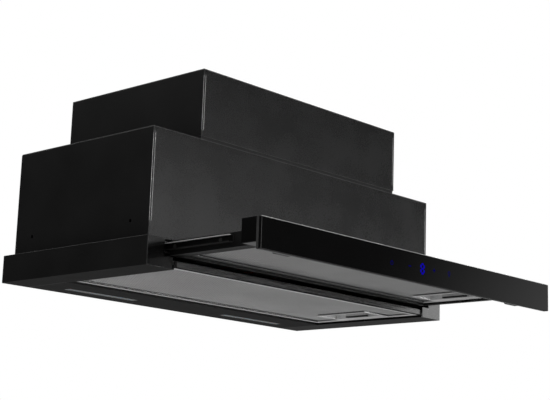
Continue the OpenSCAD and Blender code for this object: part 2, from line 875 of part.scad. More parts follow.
module control_box() {
  post_z = pcb_z0 + pcb_t;
  color(black_plastic) difference() {
    union() {
      difference() {
        slab([ctrl_x0, ctrl_y0, ctrl_z0], [ctrl_x1, ctrl_y1, ctrl_z1]);
        slab([ctrl_x0 + ctrl_wall, ctrl_y0 + ctrl_wall, ctrl_z0 - eps],
          [ctrl_x1 - ctrl_wall, ctrl_y1 - ctrl_wall, ctrl_z1 - ctrl_wall]);
      }
      for (p = cover_screws) rod_z(ctrl_z0, ctrl_z1 - 1, p[0], p[1], post_r);
      for (y = [pcb_y0 + 6, pcb_y0 + pcb_l - 6])
        rod_z(post_z, ctrl_z1 - 1, pcb_x1 - pcb_w / 2, y, 3);
    }
    rod_z(ctrl_z0 - eps, ctrl_z1 + eps, gland_x, gland_y, gland_d / 2 + fit_gap / 2);
    for (p = cover_screws) rod_z(ctrl_z0 - eps, ctrl_z0 + 8, p[0], p[1], screw_hole_d / 2);
  }
}

module control_box_cover() {
  color(black_plastic) difference() {
    slab([ctrl_x0, ctrl_y0, ctrl_z0 - cover_t], [ctrl_x1, ctrl_y1, ctrl_z0]);
    for (p = cover_screws) rod_z(ctrl_z0 - cover_t - eps, ctrl_z0 + eps, p[0], p[1], screw_hole_d / 2);
  }
}

// The board hangs from two posts, with its relays, transformer and sockets below it
module power_board() {
  x0 = pcb_x1 - pcb_w + part_in;
  x1 = pcb_x1 - part_in;
  y0 = pcb_y0 + part_in;
  relays_y1 = y0 + 3 * relay_pitch;
  color(board_green) slab([pcb_x1 - pcb_w, pcb_y0, pcb_z0], [pcb_x1, pcb_y0 + pcb_l, pcb_z0 + pcb_t]);
  color(grey_plastic) {
    for (y = [y0:relay_pitch:relays_y1 - relay_pitch])
      slab([x0, y, pcb_z0 - relay_h], [x0 + relay_w, y + relay_l, pcb_z0 + eps]);
    slab([x0, relays_y1 + part_in, pcb_z0 - transformer_h],
      [x1, relays_y1 + part_in + transformer_l, pcb_z0 + eps]);
    slab([x1 - socket_w, y0, pcb_z0 - socket_h], [x1, relays_y1 - part_in, pcb_z0 + eps]);
  }
}

module run_capacitor() {
  x = ctrl_x0 + ctrl_wall + capacitor_d / 2 + fit_gap;
  z = ctrl_z0 + capacitor_d / 2;
  y0 = ctrl_y0 + capacitor_in;
  y1 = y0 + capacitor_l;
  color(white_plastic) {
    rod_y(y0, y1, x, z, capacitor_d / 2);
    rod_y(y0 - capacitor_cap, y0 + eps, x, z, 4);
    rod_y(y1 - eps, y1 + capacitor_cap, x, z, capacitor_d / 2 - 3);
  }
}

// Three poles, each with a screw hole below and a wire hole at the rear
module terminal_block() {
  x0 = ctrl_x0 + ctrl_wall + 1;
  y1 = gland_y - terminal_rear;
  y0 = y1 - terminal_l;
  z1 = ctrl_z1 - ctrl_wall;
  z0 = z1 - terminal_h;
  color(white_plastic) difference() {
    slab([x0, y0, z0], [x0 + 2 * pole_in + 2 * pole_pitch, y1, z1]);
    for (i = [0:2]) {
      rod_z(z0 - eps, z0 + pole_in, x0 + pole_in + i * pole_pitch, y0 + pole_in, 2.6);
      rod_y(y1 - terminal_l / 3, y1 + eps, x0 + pole_in + i * pole_pitch, z1 - terminal_h / 2, 2.4);
    }
  }
}

// The gland that the mains cable goes in through, on the right shoulder
module cable_gland() {
  nut_z1 = ctrl_z1 - ctrl_wall;
  color(black_plastic) difference() {
    union() {
      rod_z(nut_z1 - gland_nut_h, casing_h, gland_x, gland_y, gland_d / 2);
      rod_z(casing_h, casing_h + gland_flange_t, gland_x, gland_y, gland_d / 2 + 4);
      translate([gland_x, gland_y, nut_z1 - gland_nut_h])
        cylinder(h = gland_nut_h, r = gland_d / 2 + 4, $fn = 6);
    }
    rod_z(nut_z1 - gland_nut_h - eps, casing_h + gland_flange_t + eps, gland_x, gland_y, gland_bore_d / 2);
  }
}

// The lamps' supply, under the left shoulder
module lamp_driver() {
  x0 = -casing_x + flange + 2;
  y0 = casing_y0 + casing_d / 2;
  color(white_plastic) difference() {
    union() {
      slab([x0, y0, shoulder_z - driver_h], [x0 + driver_w, y0 + driver_l, shoulder_z]);
      slab([x0, y0 - 10, shoulder_z - 3], [x0 + driver_w, y0 + driver_l + 10, shoulder_z]);
    }
    for (i = [0:3])
      slab([x0 + 6 + i * 11, y0 + 10, shoulder_z - driver_h - eps],
        [x0 + 11 + i * 11, y0 + driver_l - 10, shoulder_z - driver_h + 1.5]);
  }
}

// The sensor that tells whether the tray is shut, below the slide and beside the shut tray's magnet
module reed_sensor() {
  yc = arm_y1 - magnet_l / 2 + tray_travel;
  z1 = slide_z - slide_h / 2 - 3;
  color(black_plastic) slab([web_x - sensor_w, yc - sensor_l / 2, z1 - magnet_h],
    [web_x, yc + sensor_l / 2, z1]);
}

// ---- Fasteners of the fixed body ----

// A pan-head screw along +Z: its head is above z = 0 and its shank below
module screw() {
  cylinder(h = 1.6, r = 3);
  translate([0, 0, -screw_l]) cylinder(h = screw_l + eps, r = screw_d / 2);
}

module body_screws() {
  color(steel) {
    both_hands() for (z = panel_screw_zs)
      translate([casing_x - flange / 2, casing_y1, z]) rotate([-90, 0, 0]) screw();
    both_hands() for (y = top_screw_ys)
      translate([box_x - flange / 2, y, box_top]) screw();
    both_hands() for (y = slide_screw_ys)
      translate([web_x - member_t, y, slide_z]) rotate([0, -90, 0]) screw();
    for (p = cover_screws) translate([p[0], p[1], ctrl_z0 - cover_t]) rotate([180, 0, 0]) screw();
    at_bracket_bolts(0) {
      rod_x(bracket_x1 - bracket_t - 3, bracket_x1 - bracket_t, 0, 0, 3.5);
      rod_x(bracket_x1 - bracket_t - eps, -plate_x + 0.6, 0, 0, bolt_d / 2);
    }
  }
}

// ---- Slides ----

module slide_outer() {
  half_h = slide_h / 2;
  difference() {
    union() {
      slab([web_x - member_t, slide_y0, slide_z - half_h], [web_x, slide_y1, slide_z + half_h]);
      for (z = [slide_z - half_h, slide_z + half_h - member_t])
        slab([slide_flange_x, slide_y0, z], [web_x, slide_y1, z + member_t]);
    }
    for (y = slide_screw_ys) rod_x(web_x - member_t - eps, web_x + eps, y, slide_z, screw_hole_d / 2);
  }
}

module slide_outer_left() {
  color(zinc) left_hand() slide_outer();
}

module slide_outer_right() {
  color(zinc) slide_outer();
}

// The cage that keeps two rows of balls between the members, with its balls
module slide_cage() {
  wall = 0.6;
  ball_x = (slide_flange_x + inner_flange_x) / 2 + 1;
  ball_ys = [for (i = [0:ball_n - 1]) cage_y0 + 5 + i * (cage_l - 10) / (ball_n - 1)];
  difference() {
    union() {
      slab([cage_x0, cage_y0, slide_z - row_z - 1],
        [cage_x0 + wall, cage_y0 + cage_l, slide_z + row_z + 1]);
      for (z = [-row_z, row_z])
        slab([slide_flange_x + 1, cage_y0, slide_z + z - wall / 2],
          [cage_x0 + wall, cage_y0 + cage_l, slide_z + z + wall / 2]);
    }
    for (y = ball_ys, z = [-row_z, row_z])
      rod_z(slide_z + z - 1, slide_z + z + 1, ball_x, y, ball_d / 2 + 0.1);
  }
  for (y = ball_ys, z = [-row_z, row_z])
    translate([ball_x, y, slide_z + z]) sphere(r = ball_d / 2, $fn = 24);
}

module slide_cage_left() {
  color(steel) left_hand() slide_cage();
}

module slide_cage_right() {
  color(steel) slide_cage();
}

module slide_inner() {
  rivet_ys = [slide_inner_y0 + rivet_in, (slide_inner_y0 + slide_inner_y1) / 2, slide_inner_y1 - rivet_in];
  slab([tray_x, slide_inner_y0, slide_z - inner_half_h],
    [tray_x + member_t, slide_inner_y1, slide_z + inner_half_h]);
  for (z = [slide_z - inner_half_h, slide_z + inner_half_h - member_t])
    slab([tray_x, slide_inner_y0, z], [inner_flange_x, slide_inner_y1, z + member_t]);
  for (y = rivet_ys) rod_x(tray_x + member_t - eps, tray_x + member_t + rivet_head, y, slide_z, rivet_r);
}

module slide_inner_left() {
  color(zinc) left_hand() slide_inner();
}

module slide_inner_right() {
  color(zinc) slide_inner();
}

// ---- Tray ----

module tray_frame() {
  color(black_paint) difference() {
    union() {
      slab([-tray_x, panel_y1, tray_z0], [tray_x, tray_back_y, tray_z0 + sheet]);
      both_hands() slab([tray_x - sheet, panel_y1, tray_z0], [tray_x, arm_y1, tray_top_z]);
      slab([-tray_x, panel_y1, tray_z0], [tray_x, panel_y1 + sheet, tray_top_z]);
      slab([-tray_x, tray_back_y - sheet, tray_z0], [tray_x, tray_back_y, tray_z0 + lip_h]);
      slab([open_x0 - sheet, open_y0 - sheet, tray_z0],
        [open_x1 + sheet, open_y1 + sheet, tray_z0 + lip_h]);
    }
    slab([open_x0, open_y0, tray_z0 - eps], [open_x1, open_y1, tray_z0 + lip_h + eps]);
    tongue_notch(open_x1, latch_y(front_filter), tray_z0);
  }
}

module tray_magnet() {
  color(steel) slab([tray_x - sheet - magnet_t, arm_y1 - magnet_l, tray_z0],
    [tray_x - sheet, arm_y1, tray_z0 + magnet_h]);
}

// ---- Pull-out front ----

// The carrier plate and the hollow rail behind it, as one outline across their length
module front_outline(inset) {
  translate([carrier_y0, glass_z0]) square([carrier_t, glass_h]);
  difference() {
    translate([rail_y0 - eps, rail_z0]) square([rail_d + eps, rail_h]);
    if (inset > 0) translate([rail_y0, rail_z0 + inset]) square([rail_d - inset, rail_h - 2 * inset]);
  }
}

module panel_housing() {
  color(black_paint) difference() {
    plate_yz(-half_w + cap_t, half_w - cap_t) front_outline(rail_wall);
    slab([-touch_l / 2 + window_in, carrier_y0 - eps, touch_z - touch_h / 2 + window_in],
      [touch_l / 2 - window_in, rail_y0 + eps, touch_z + touch_h / 2 - window_in]);
  }
}

// Each cap closes one end and plugs into the hollow rail
module end_cap() {
  plug = 8;
  inset = rail_wall + fit_gap;
  plate_yz(half_w - cap_t, half_w) front_outline(0);
  slab([half_w - cap_t - plug, rail_y0 + fit_gap, rail_z0 + inset],
    [half_w - cap_t + eps, panel_y1 - inset, rail_z0 + rail_h - inset]);
}

module end_cap_left() {
  color(black_plastic) left_hand() end_cap();
}

module end_cap_right() {
  color(black_plastic) end_cap();
}

module glass_panel() {
  color(glass_black) slab([-half_w, glass_y0, glass_z0], [half_w, carrier_y0, glass_z1]);
}

// The board behind the glass: touch springs reach the glass on both sides of the display
module touch_board() {
  key_gap = 26;
  key_r = 4.5;
  digit_w = 14;
  board_y0 = rail_y0 + fit_gap;
  half_h = touch_h / 2 - window_in - easy_gap;
  color(board_green) slab([-touch_l / 2, board_y0, touch_z - touch_h / 2],
    [touch_l / 2, board_y0 + touch_board_t, touch_z + touch_h / 2]);
  color(steel) for (i = [-2, -1, 1, 2])
    rod_y(carrier_y0 + fit_gap, board_y0 + eps, i * key_gap, touch_z, key_r);
  color(black_plastic) slab([-digit_w / 2, carrier_y0 + fit_gap, touch_z - half_h],
    [digit_w / 2, board_y0 + eps, touch_z + half_h]);
}

module panel_bumpers() {
  wide = 8;
  high = 5.8;
  y1 = panel_y1 - 5;
  color(rubber_black) both_hands()
    slab([bumper_x - bumper_l / 2, y1 - wide, rail_z0 - high], [bumper_x + bumper_l / 2, y1, rail_z0]);
}

// ---- Filters: f is [x0, x1, y0, y1, z0] ----

// A channel frame that holds the layers, with hooks on the left and the finger pocket on the right
module filter_frame(f) {
  x1 = f[1];
  yc = latch_y(f);
  z0 = f[4];
  z1 = z0 + filter_h;
  pocket_x1 = x1 - pocket_in;
  pocket_x0 = pocket_x1 - pocket_l;
  half_p = pocket_w / 2;
  ceiling_z = z1 - 2 * frame_wall;
  difference() {
    union() {
      difference() {
        slab([f[0], f[2], z0], [x1, f[3], z1]);
        slab([f[0] + frame_bar, f[2] + frame_bar, z0 - eps], [x1 - frame_bar, f[3] - frame_bar, z1 + eps]);
        slab([f[0] + frame_wall, f[2] + frame_wall, z0 + frame_wall],
          [x1 - frame_wall, f[3] - frame_wall, z1 - frame_wall]);
      }
      slab([pocket_x0 - pocket_rim, yc - half_p - pocket_rim, z0],
        [x1 - frame_bar + 1, yc + half_p + pocket_rim, z0 + frame_wall]);
      slab([pocket_x0 - 1, yc - half_p - 1, z0], [pocket_x1 + 1, yc + half_p + 1, ceiling_z + frame_wall]);
      slab([pocket_x1, yc - 22, z1 - frame_wall], [x1 - frame_bar + 1, yc + 22, z1]);
      for (y = [f[2] + tab_in, f[3] - tab_in])
        slab([f[0] - filter_end_gap - tab_reach, y - tab_w / 2, z0 + hook_up + fit_gap],
          [f[0] + frame_wall, y + tab_w / 2, z0 + hook_up + fit_gap + tab_t]);
    }
    slab([pocket_x0, yc - half_p, z0 - eps], [pocket_x1, yc + half_p, ceiling_z]);
    slab([pocket_x1 - eps, yc - tongue_w / 2 - guide_gap, z0 + hook_up + fit_gap - guide_gap],
      [x1 + eps, yc + tongue_w / 2 + guide_gap, z0 + hook_up + fit_gap + tongue_t + guide_gap]);
  }
}

// Two outer sheets and two inner layers, held in the frame's channel, clear of the latch
module filter_layers(f) {
  z0 = f[4];
  z1 = z0 + filter_h;
  edge = frame_wall + fit_gap;
  latch_x0 = f[1] - pocket_in - pocket_l - pocket_rim - fit_gap;
  half_latch = pocket_w / 2 + pocket_rim + fit_gap;
  inner_z = (filter_h - 2 * frame_wall) / 3;
  sheets = [
    [z0 + frame_wall, mesh_t], [z0 + frame_wall + inner_z, layer_t],
    [z0 + frame_wall + 2 * inner_z, layer_t], [z1 - frame_wall - mesh_t, mesh_t]
  ];
  for (s = sheets) difference() {
    slab([f[0] + edge, f[2] + edge, s[0]], [f[1] - edge, f[3] - edge, s[0] + s[1]]);
    slab([latch_x0, latch_y(f) - half_latch, s[0] - eps],
      [f[1], latch_y(f) + half_latch, s[0] + s[1] + eps]);
  }
}

// The latch: a finger bar in the pocket, a tongue through the frame and a seat for its spring
module filter_latch(f) {
  x1 = f[1];
  yc = latch_y(f);
  z0 = f[4] + hook_up + fit_gap;
  bar_x1 = x1 - pocket_in - fit_gap;
  slab([bar_x1 - bar_t, yc - bar_l / 2, f[4] + 0.5], [bar_x1, yc + bar_l / 2, z0 + tongue_t]);
  slab([bar_x1 - eps, yc - tongue_w / 2, z0],
    [x1 + filter_end_gap + tongue_reach, yc + tongue_w / 2, z0 + tongue_t]);
  slab([x1 - seat_in, yc - tongue_w / 2, f[4] + frame_wall + 0.6],
    [x1 - seat_in + seat_t, yc + spring_y + 3, z0 + tongue_t]);
}

// A round wire along a helix, from the pocket's wall to the latch's spring seat
module latch_spring(f) {
  x0 = f[1] - pocket_in + 1;
  length = pocket_in - seat_in - 1;
  per_turn = 16;
  sides = 6;
  steps = spring_turns * per_turn;
  span = length - 2 * spring_wire_r;
  points = [
    for (i = [0:steps], j = [0:sides - 1])
      let (a = 360 * i / per_turn, b = 360 * j / sides, r = spring_r + spring_wire_r * cos(b))
        [spring_wire_r + span * i / steps + spring_wire_r * sin(b), r * cos(a), r * sin(a)]
  ];
  walls = [
    for (i = [0:steps - 1], j = [0:sides - 1])
      let (k = (j + 1) % sides)
        each [
          [i * sides + j, i * sides + k, (i + 1) * sides + k],
          [i * sides + j, (i + 1) * sides + k, (i + 1) * sides + j]
        ]
  ];
  ends = [[for (j = [sides - 1:-1:0]) j], [for (j = [0:sides - 1]) steps * sides + j]];
  translate([x0, latch_y(f) + spring_y, f[4] + filter_h / 2 - 0.1])
    polyhedron(points = points, faces = concat(walls, ends), convexity = 8);
}

module front_filter_frame() {
  color(bright_alu) filter_frame(front_filter);
}

module front_filter_mesh() {
  color(mesh_alu) filter_layers(front_filter);
}

module front_filter_latch() {
  color(black_plastic) filter_latch(front_filter);
}

module front_latch_spring() {
  color(steel) latch_spring(front_filter);
}

module rear_filter_frame() {
  color(bright_alu) filter_frame(rear_filter);
}

module rear_filter_mesh() {
  color(mesh_alu) filter_layers(rear_filter);
}

module rear_filter_latch() {
  color(black_plastic) filter_latch(rear_filter);
}

module rear_latch_spring() {
  color(steel) latch_spring(rear_filter);
}

side_channel_left();
side_channel_right();
front_crossbar();
front_ledge();
rear_skirt();
lamp_panel();
lamp_lenses();
lamp_boards();
casing_side_left();
casing_side_right();
casing_front_panel();
casing_top_panels();
rear_panel();
motor_box_side_left();
motor_box_side_right();
motor_box_front();
motor_box_top();
outlet_collar();
flap_pin();
flap_front();
flap_rear();
scroll_wrapper();
scroll_side_left();
scroll_side_right();
impeller();
motor_shaft();
fan_motor();
motor_bracket();
motor_grommets();
control_box();
control_box_cover();
power_board();
run_capacitor();
terminal_block();
cable_gland();
lamp_driver();
reed_sensor();
body_screws();
slide_outer_left();
slide_outer_right();
slide_cage_left();
slide_cage_right();
slide_inner_left();
slide_inner_right();
tray_frame();
tray_magnet();
panel_housing();
end_cap_left();
end_cap_right();
glass_panel();
touch_board();
panel_bumpers();
front_filter_frame();
front_filter_mesh();
front_filter_latch();
front_latch_spring();
rear_filter_frame();
rear_filter_mesh();
rear_filter_latch();
rear_latch_spring();
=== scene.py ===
# %% [markdown]
# # A pull-out range hood, dressed for the render
# The hood hangs under a wall cabinet. Its black canopy carries a casing and a motor box above,
# and a filter tray slides out below. The CAD model gives every piece its size and place, in
# metres, so this lesson only gives those pieces their folds, holes, screws and finishes.
# We load that model first; the dressed hood must stay inside its box.

# %% Load the frame
import json
import math
import bmesh
import bpy
from mathutils import Matrix, Vector


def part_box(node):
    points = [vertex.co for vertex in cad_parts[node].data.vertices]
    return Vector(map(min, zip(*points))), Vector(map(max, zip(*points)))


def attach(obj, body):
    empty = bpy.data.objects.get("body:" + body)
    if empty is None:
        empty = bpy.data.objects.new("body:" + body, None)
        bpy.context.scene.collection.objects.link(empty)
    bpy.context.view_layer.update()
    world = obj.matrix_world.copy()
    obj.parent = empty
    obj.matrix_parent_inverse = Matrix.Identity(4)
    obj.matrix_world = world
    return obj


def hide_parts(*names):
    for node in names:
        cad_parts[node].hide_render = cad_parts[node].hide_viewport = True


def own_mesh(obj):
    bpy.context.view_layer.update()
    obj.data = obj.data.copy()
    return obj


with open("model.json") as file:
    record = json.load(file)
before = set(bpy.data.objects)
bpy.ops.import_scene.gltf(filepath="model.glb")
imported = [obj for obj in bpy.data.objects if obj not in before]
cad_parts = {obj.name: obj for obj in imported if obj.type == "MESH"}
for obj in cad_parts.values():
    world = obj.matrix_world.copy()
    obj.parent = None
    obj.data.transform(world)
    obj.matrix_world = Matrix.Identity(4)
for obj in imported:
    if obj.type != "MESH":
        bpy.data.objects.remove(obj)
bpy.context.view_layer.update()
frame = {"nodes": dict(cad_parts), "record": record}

scene = bpy.context.scene

# %% [markdown]
# ## The camera
# The photograph looks up at the hood from its front left, a little below the cabinet. A camera
# could be aimed with a Track To constraint, but then its roll and its angle would be guessed. We
# write down where it stands, how it is turned and its lens, and make its matrix from the
# three directions right, up and backwards.

# %% Camera
MM = 0.001
CAMERA_PLACE = Vector((-1.42307, -1.27630, -0.31095))
CAMERA_YAW = math.radians(46.75)
CAMERA_PITCH = math.radians(12.01)
CAMERA_ROLL = math.radians(1.98)
CAMERA_LENS = 91.956
SENSOR_WIDTH = 36

forward = Vector((math.sin(CAMERA_YAW) * math.cos(CAMERA_PITCH),
                  math.cos(CAMERA_YAW) * math.cos(CAMERA_PITCH), math.sin(CAMERA_PITCH)))
right = Vector((math.cos(CAMERA_YAW), -math.sin(CAMERA_YAW), 0))
up = right.cross(forward)
rolled_right = math.cos(CAMERA_ROLL) * right + math.sin(CAMERA_ROLL) * up
rolled_up = math.cos(CAMERA_ROLL) * up - math.sin(CAMERA_ROLL) * right

camera = bpy.data.objects.new("camera", bpy.data.cameras.new("camera"))
scene.collection.objects.link(camera)
camera.data.lens = CAMERA_LENS
camera.data.sensor_width = SENSOR_WIDTH
camera.data.clip_end = 50
turn = Matrix((rolled_right, rolled_up, -forward)).transposed()
camera.matrix_world = Matrix.Translation(CAMERA_PLACE) @ turn.to_4x4()
scene.camera = camera
scene.view_settings.view_transform = "Standard"
print("camera at", tuple(round(c, 3) for c in CAMERA_PLACE))

# %% [markdown]
# ## Working by hand, in code
# Operators act on whatever is selected, so each helper first clears the selection. Faces are
# then picked by their centre and normal, as we would click them in the viewport.

# %% Helpers for selecting and editing
def pick(*objects):
    if bpy.context.object and bpy.context.object.mode != "OBJECT":
        bpy.ops.object.mode_set(mode="OBJECT")
    bpy.ops.object.select_all(action="DESELECT")
    for each in objects:
        each.select_set(True)
    bpy.context.view_layer.objects.active = objects[0]


def edit(piece, mode="FACE"):
    pick(piece)
    bpy.ops.object.mode_set(mode="EDIT")
    bpy.ops.mesh.select_mode(type=mode)


def done():
    bpy.ops.object.mode_set(mode="OBJECT")


def select_faces(piece, test):
    mesh = bmesh.from_edit_mesh(piece.data)
    for face in mesh.faces:
        face.select_set(False)
    for face in [face for face in mesh.faces if test(face.calc_center_median(), face.normal)]:
        face.select_set(True)
    bmesh.update_edit_mesh(piece.data)


def settle(piece):
    pick(piece)
    bpy.ops.object.transform_apply(location=True, rotation=True, scale=True)


def name_it(name):
    piece = bpy.context.object
    piece.name = name
    piece.data.name = name
    return piece


def join(name, pieces):
    pick(*pieces)
    if len(pieces) > 1:
        bpy.ops.object.join()
    return name_it(name)


def twin(piece, name):
    other = bpy.data.objects.new(name, piece.data.copy())
    scene.collection.objects.link(other)
    return other


# %% [markdown]
# Folded sheet steel and moulded plastic never end in a knife edge: the fold or the mould leaves
# a small round, and that round catches the light as a thin bright line. A Bevel modifier makes
# it on every edge sharper than a given angle, and shading smooth by angle joins it to the flats.
# A Weighted Normal modifier then lets the big faces win, so a flat sheet stays flat to its rim.

# %% Helpers for rounding and shading
def smooth(piece, angle=32):
    pick(piece)
    bpy.ops.object.shade_smooth_by_angle(angle=math.radians(angle))


def even_out(piece):
    pick(piece)
    weights = piece.modifiers.new("even_out", "WEIGHTED_NORMAL")
    weights.keep_sharp = True
    bpy.ops.object.modifier_apply(modifier=weights.name)


def soften(piece, width, segments=2, angle=32, edge_index=None):
    if width:
        pick(piece)
        bevel = piece.modifiers.new("soften", "BEVEL")
        bevel.width = width * MM
        bevel.segments = segments
        bevel.limit_method = "ANGLE"
        bevel.angle_limit = math.radians(angle)
        bevel.use_clamp_overlap = False
        bevel.miter_outer = "MITER_ARC"
        if edge_index is not None:
            bevel.material = edge_index
        bpy.ops.object.modifier_apply(modifier=bevel.name)
    smooth(piece, angle)
    even_out(piece)


def merged_copy(node, name, flatten=True):
    piece = twin(frame["nodes"][node], name)
    edit(piece, "VERT")
    bpy.ops.mesh.select_all(action="SELECT")
    bpy.ops.mesh.remove_doubles(threshold=0.002 * MM)
    if flatten:
        bpy.ops.mesh.dissolve_limited(angle_limit=math.radians(0.4))
    done()
    return piece


# %% Helpers for declaring a piece
BODY_OF = {node: body for body, nodes in frame["record"]["behaviour"]["bodies"].items() for node in nodes}


def wear(piece, *materials):
    piece.data.materials.clear()
    for material in materials:
        piece.data.materials.append(material)


def paint_faces(piece, index, test):
    for face in piece.data.polygons:
        if test(face.center, face.normal):
            face.material_index = index


def declare(piece, node, replace=True):
    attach(piece, BODY_OF[node])
    if replace:
        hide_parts(node)


def dress(node, ending, material, width, segments=2, flatten=True):
    piece = merged_copy(node, f"{node}_{ending}", flatten)
    soften(piece, width, segments)
    wear(piece, material)
    declare(piece, node)
    return piece


# %% [markdown]
# ## Finishes shared by several materials
# Powder coat, moulded plastic, rolled aluminium and zinc all need two things: a value that
# wanders a little over the surface, and a fine relief. Each is built once as a node group with
# named sockets, and a material then places it with its own numbers. The group hands out only
# colours, values and normals; the shader stays in the material.

# %% Node group helpers
def new_group(name, inputs, outputs):
    group = bpy.data.node_groups.new(name, "ShaderNodeTree")
    for kind, label, value in inputs:
        socket = group.interface.new_socket(label, in_out="INPUT", socket_type=kind)
        if value is not None:
            socket.default_value = value
    for kind, label in outputs:
        group.interface.new_socket(label, in_out="OUTPUT", socket_type=kind)
    return group, group.nodes.new("NodeGroupInput"), group.nodes.new("NodeGroupOutput")


def add(tree, kind, links=None, **values):
    node = tree.nodes.new(kind)
    for key, value in values.items():
        setattr(node, key, value)
    for socket, source in (links or {}).items():
        target = node.inputs[socket]
        if isinstance(source, bpy.types.NodeSocket):
            tree.links.new(source, target)
        else:
            target.default_value = source
    return node


# %% [markdown]
# **Grain** is a fine, even relief with a slow drift in tone: the orange peel of powder coat or
# the spark-eroded skin of a plastic mould. A stretched version of the same noise gives the
# streaks that rolling and brushing leave on metal, so the stretch is an input.

# %% The grain group
FLOAT, COLOR, VECTOR = "NodeSocketFloat", "NodeSocketColor", "NodeSocketVector"

grain, g_in, g_out = new_group(
    "grain",
    [(VECTOR, "Stretch", (1, 1, 1)), (FLOAT, "Fineness", 900.0), (FLOAT, "Relief", 0.1),
     (FLOAT, "Depth", 0.0001), (COLOR, "Dark", None), (COLOR, "Light", None),
     (FLOAT, "Smoothest", 0.35), (FLOAT, "Roughest", 0.5)],
    [(COLOR, "Color"), (FLOAT, "Roughness"), (VECTOR, "Normal")])
place = add(grain, "ShaderNodeTexCoord")
stretched = add(grain, "ShaderNodeVectorMath", {0: place.outputs["Object"], 1: g_in.outputs["Stretch"]},
                operation="MULTIPLY")
fine = add(grain, "ShaderNodeTexNoise", {"Vector": stretched.outputs[0], "Scale": g_in.outputs["Fineness"],
                                         "Detail": 3.0, "Roughness": 0.55})
slow = add(grain, "ShaderNodeTexNoise", {"Vector": stretched.outputs[0], "Scale": 14.0, "Detail": 2.0})
both = add(grain, "ShaderNodeMath", {0: fine.outputs[0], 1: slow.outputs[0]}, operation="MULTIPLY")
mask = add(grain, "ShaderNodeMapRange", {"Value": both.outputs[0], "From Min": 0.12, "From Max": 0.4})
tone = add(grain, "ShaderNodeMix", {0: mask.outputs[0], 6: g_in.outputs["Dark"], 7: g_in.outputs["Light"]},
           data_type="RGBA")
rough = add(grain, "ShaderNodeMapRange", {"Value": mask.outputs[0], "To Min": g_in.outputs["Smoothest"],
                                          "To Max": g_in.outputs["Roughest"]})
relief = add(grain, "ShaderNodeBump", {"Strength": g_in.outputs["Relief"], "Distance": g_in.outputs["Depth"],
                                       "Height": fine.outputs[0]})
for label, source in (("Color", tone.outputs[2]), ("Roughness", rough.outputs[0]),
                      ("Normal", relief.outputs[0])):
    grain.links.new(source, g_out.inputs[label])
print("grain group:", len(grain.nodes), "nodes")

# %% [markdown]
# A finish is then one call: the shader's constants go on its own sockets, and the grain feeds
# colour, roughness and normal. The two tones stay close together, because a good coat of paint
# is almost even.

# %% Making a finish
def finish_of(name, dark, light, smoothest, roughest, fineness=900, relief=0.1, depth=0.1,
              stretch=(1, 1, 1), **constants):
    material = bpy.data.materials.new(name)
    material.use_nodes = True
    tree = material.node_tree
    shader = tree.nodes["Principled BSDF"]
    grains = add(tree, "ShaderNodeGroup", node_tree=grain)
    for label, value in (("Stretch", stretch), ("Fineness", fineness), ("Relief", relief),
                         ("Depth", depth * MM), ("Dark", (*dark, 1)), ("Light", (*light, 1)),
                         ("Smoothest", smoothest), ("Roughest", roughest)):
        grains.inputs[label].default_value = value
    for label, socket in (("Color", "Base Color"), ("Roughness", "Roughness"), ("Normal", "Normal")):
        tree.links.new(grains.outputs[label], shader.inputs[socket])
    for socket, value in constants.items():
        shader.inputs[socket.replace("_", " ")].default_value = value
    return material


def grey(value, warm=0.0):
    return (value * (1 + warm), value, value * (1 - warm))


# %% [markdown]
# ## Black finishes
# The sheet steel has a satin black powder coat. It is nearly black, so what we see of it is its
# gloss: the faint orange peel breaks the reflections up. The fronts are a touch smoother, the
# canopy's underside is duller, and the cheeks at its ends are polished. The moulded caps and
# latches have a finer skin. The pull-out front is black anodised aluminium with lengthwise lines
# from the die, and the bar across the canopy is dark polished metal.

# %% Black finishes
satin_black = finish_of("satin_black", grey(0.0085), grey(0.012), 0.4, 0.5, 700, 0.10, 0.12,
                        Specular_IOR_Level=0.1)
front_black = finish_of("front_black", grey(0.006), grey(0.008), 0.25, 0.31, 700, 0.10, 0.12,
                        Specular_IOR_Level=0.2)
polished_bar = finish_of("polished_bar", grey(0.055), grey(0.07), 0.22, 0.32, 700, 0.1, 0.03, (0.03, 1, 1),
                         Metallic=1.0)
under_black = finish_of("under_black", grey(0.004), grey(0.007), 0.42, 0.5, 700, 0.10, 0.12,
                        Specular_IOR_Level=0.04)
cheek_gloss = finish_of("cheek_gloss", grey(0.002), grey(0.003), 0.12, 0.18, 300, 0.05, 0.05,
                        Specular_IOR_Level=0.5)
dipped_black = finish_of("dipped_black", grey(0.005), grey(0.009), 0.4, 0.55, 500, 0.1, 0.05,
                         Specular_IOR_Level=0.15)
moulded_black = finish_of("moulded_black", grey(0.004), grey(0.007), 0.42, 0.58, 1600, 0.25, 0.1,
                          Specular_IOR_Level=0.15)
# This darkest black is also painted shade, worn where parts lie in shade.
cap_and_shade_black = finish_of("cap_and_shade_black", grey(0.0008), grey(0.0015), 0.4, 0.5, 1600, 0.2, 0.06,
                      Specular_IOR_Level=0.08)
anodised_black = finish_of("anodised_black", grey(0.002), grey(0.004), 0.3, 0.42, 900, 0.12, 0.08,
                           (0.02, 1, 1), Specular_IOR_Level=0.12)
rubber_grey = finish_of("rubber_grey", grey(0.07), grey(0.1), 0.6, 0.8, 1200, 0.3, 0.1,
                        Specular_IOR_Level=0.15)
rubber_black = finish_of("rubber_black", grey(0.003), grey(0.006), 0.6, 0.8, 1200, 0.3, 0.1,
                         Specular_IOR_Level=0.15)
glass_black = finish_of("glass_black", grey(0.0008), grey(0.0012), 0.04, 0.06, 60, 0.0, 0.01,
                        IOR=1.5)
print("black finishes:", len(bpy.data.materials))

# %% [markdown]
# ## Bright metals
# Aluminium sheet keeps the streaks of the rolling mill, zinc plating is bright with a soft
# bloom, and turned steel is the smoothest. Zinc and steel are full metals, whose colour is that
# of their reflections. The aluminium is dull from washing, so part of its colour is its own.

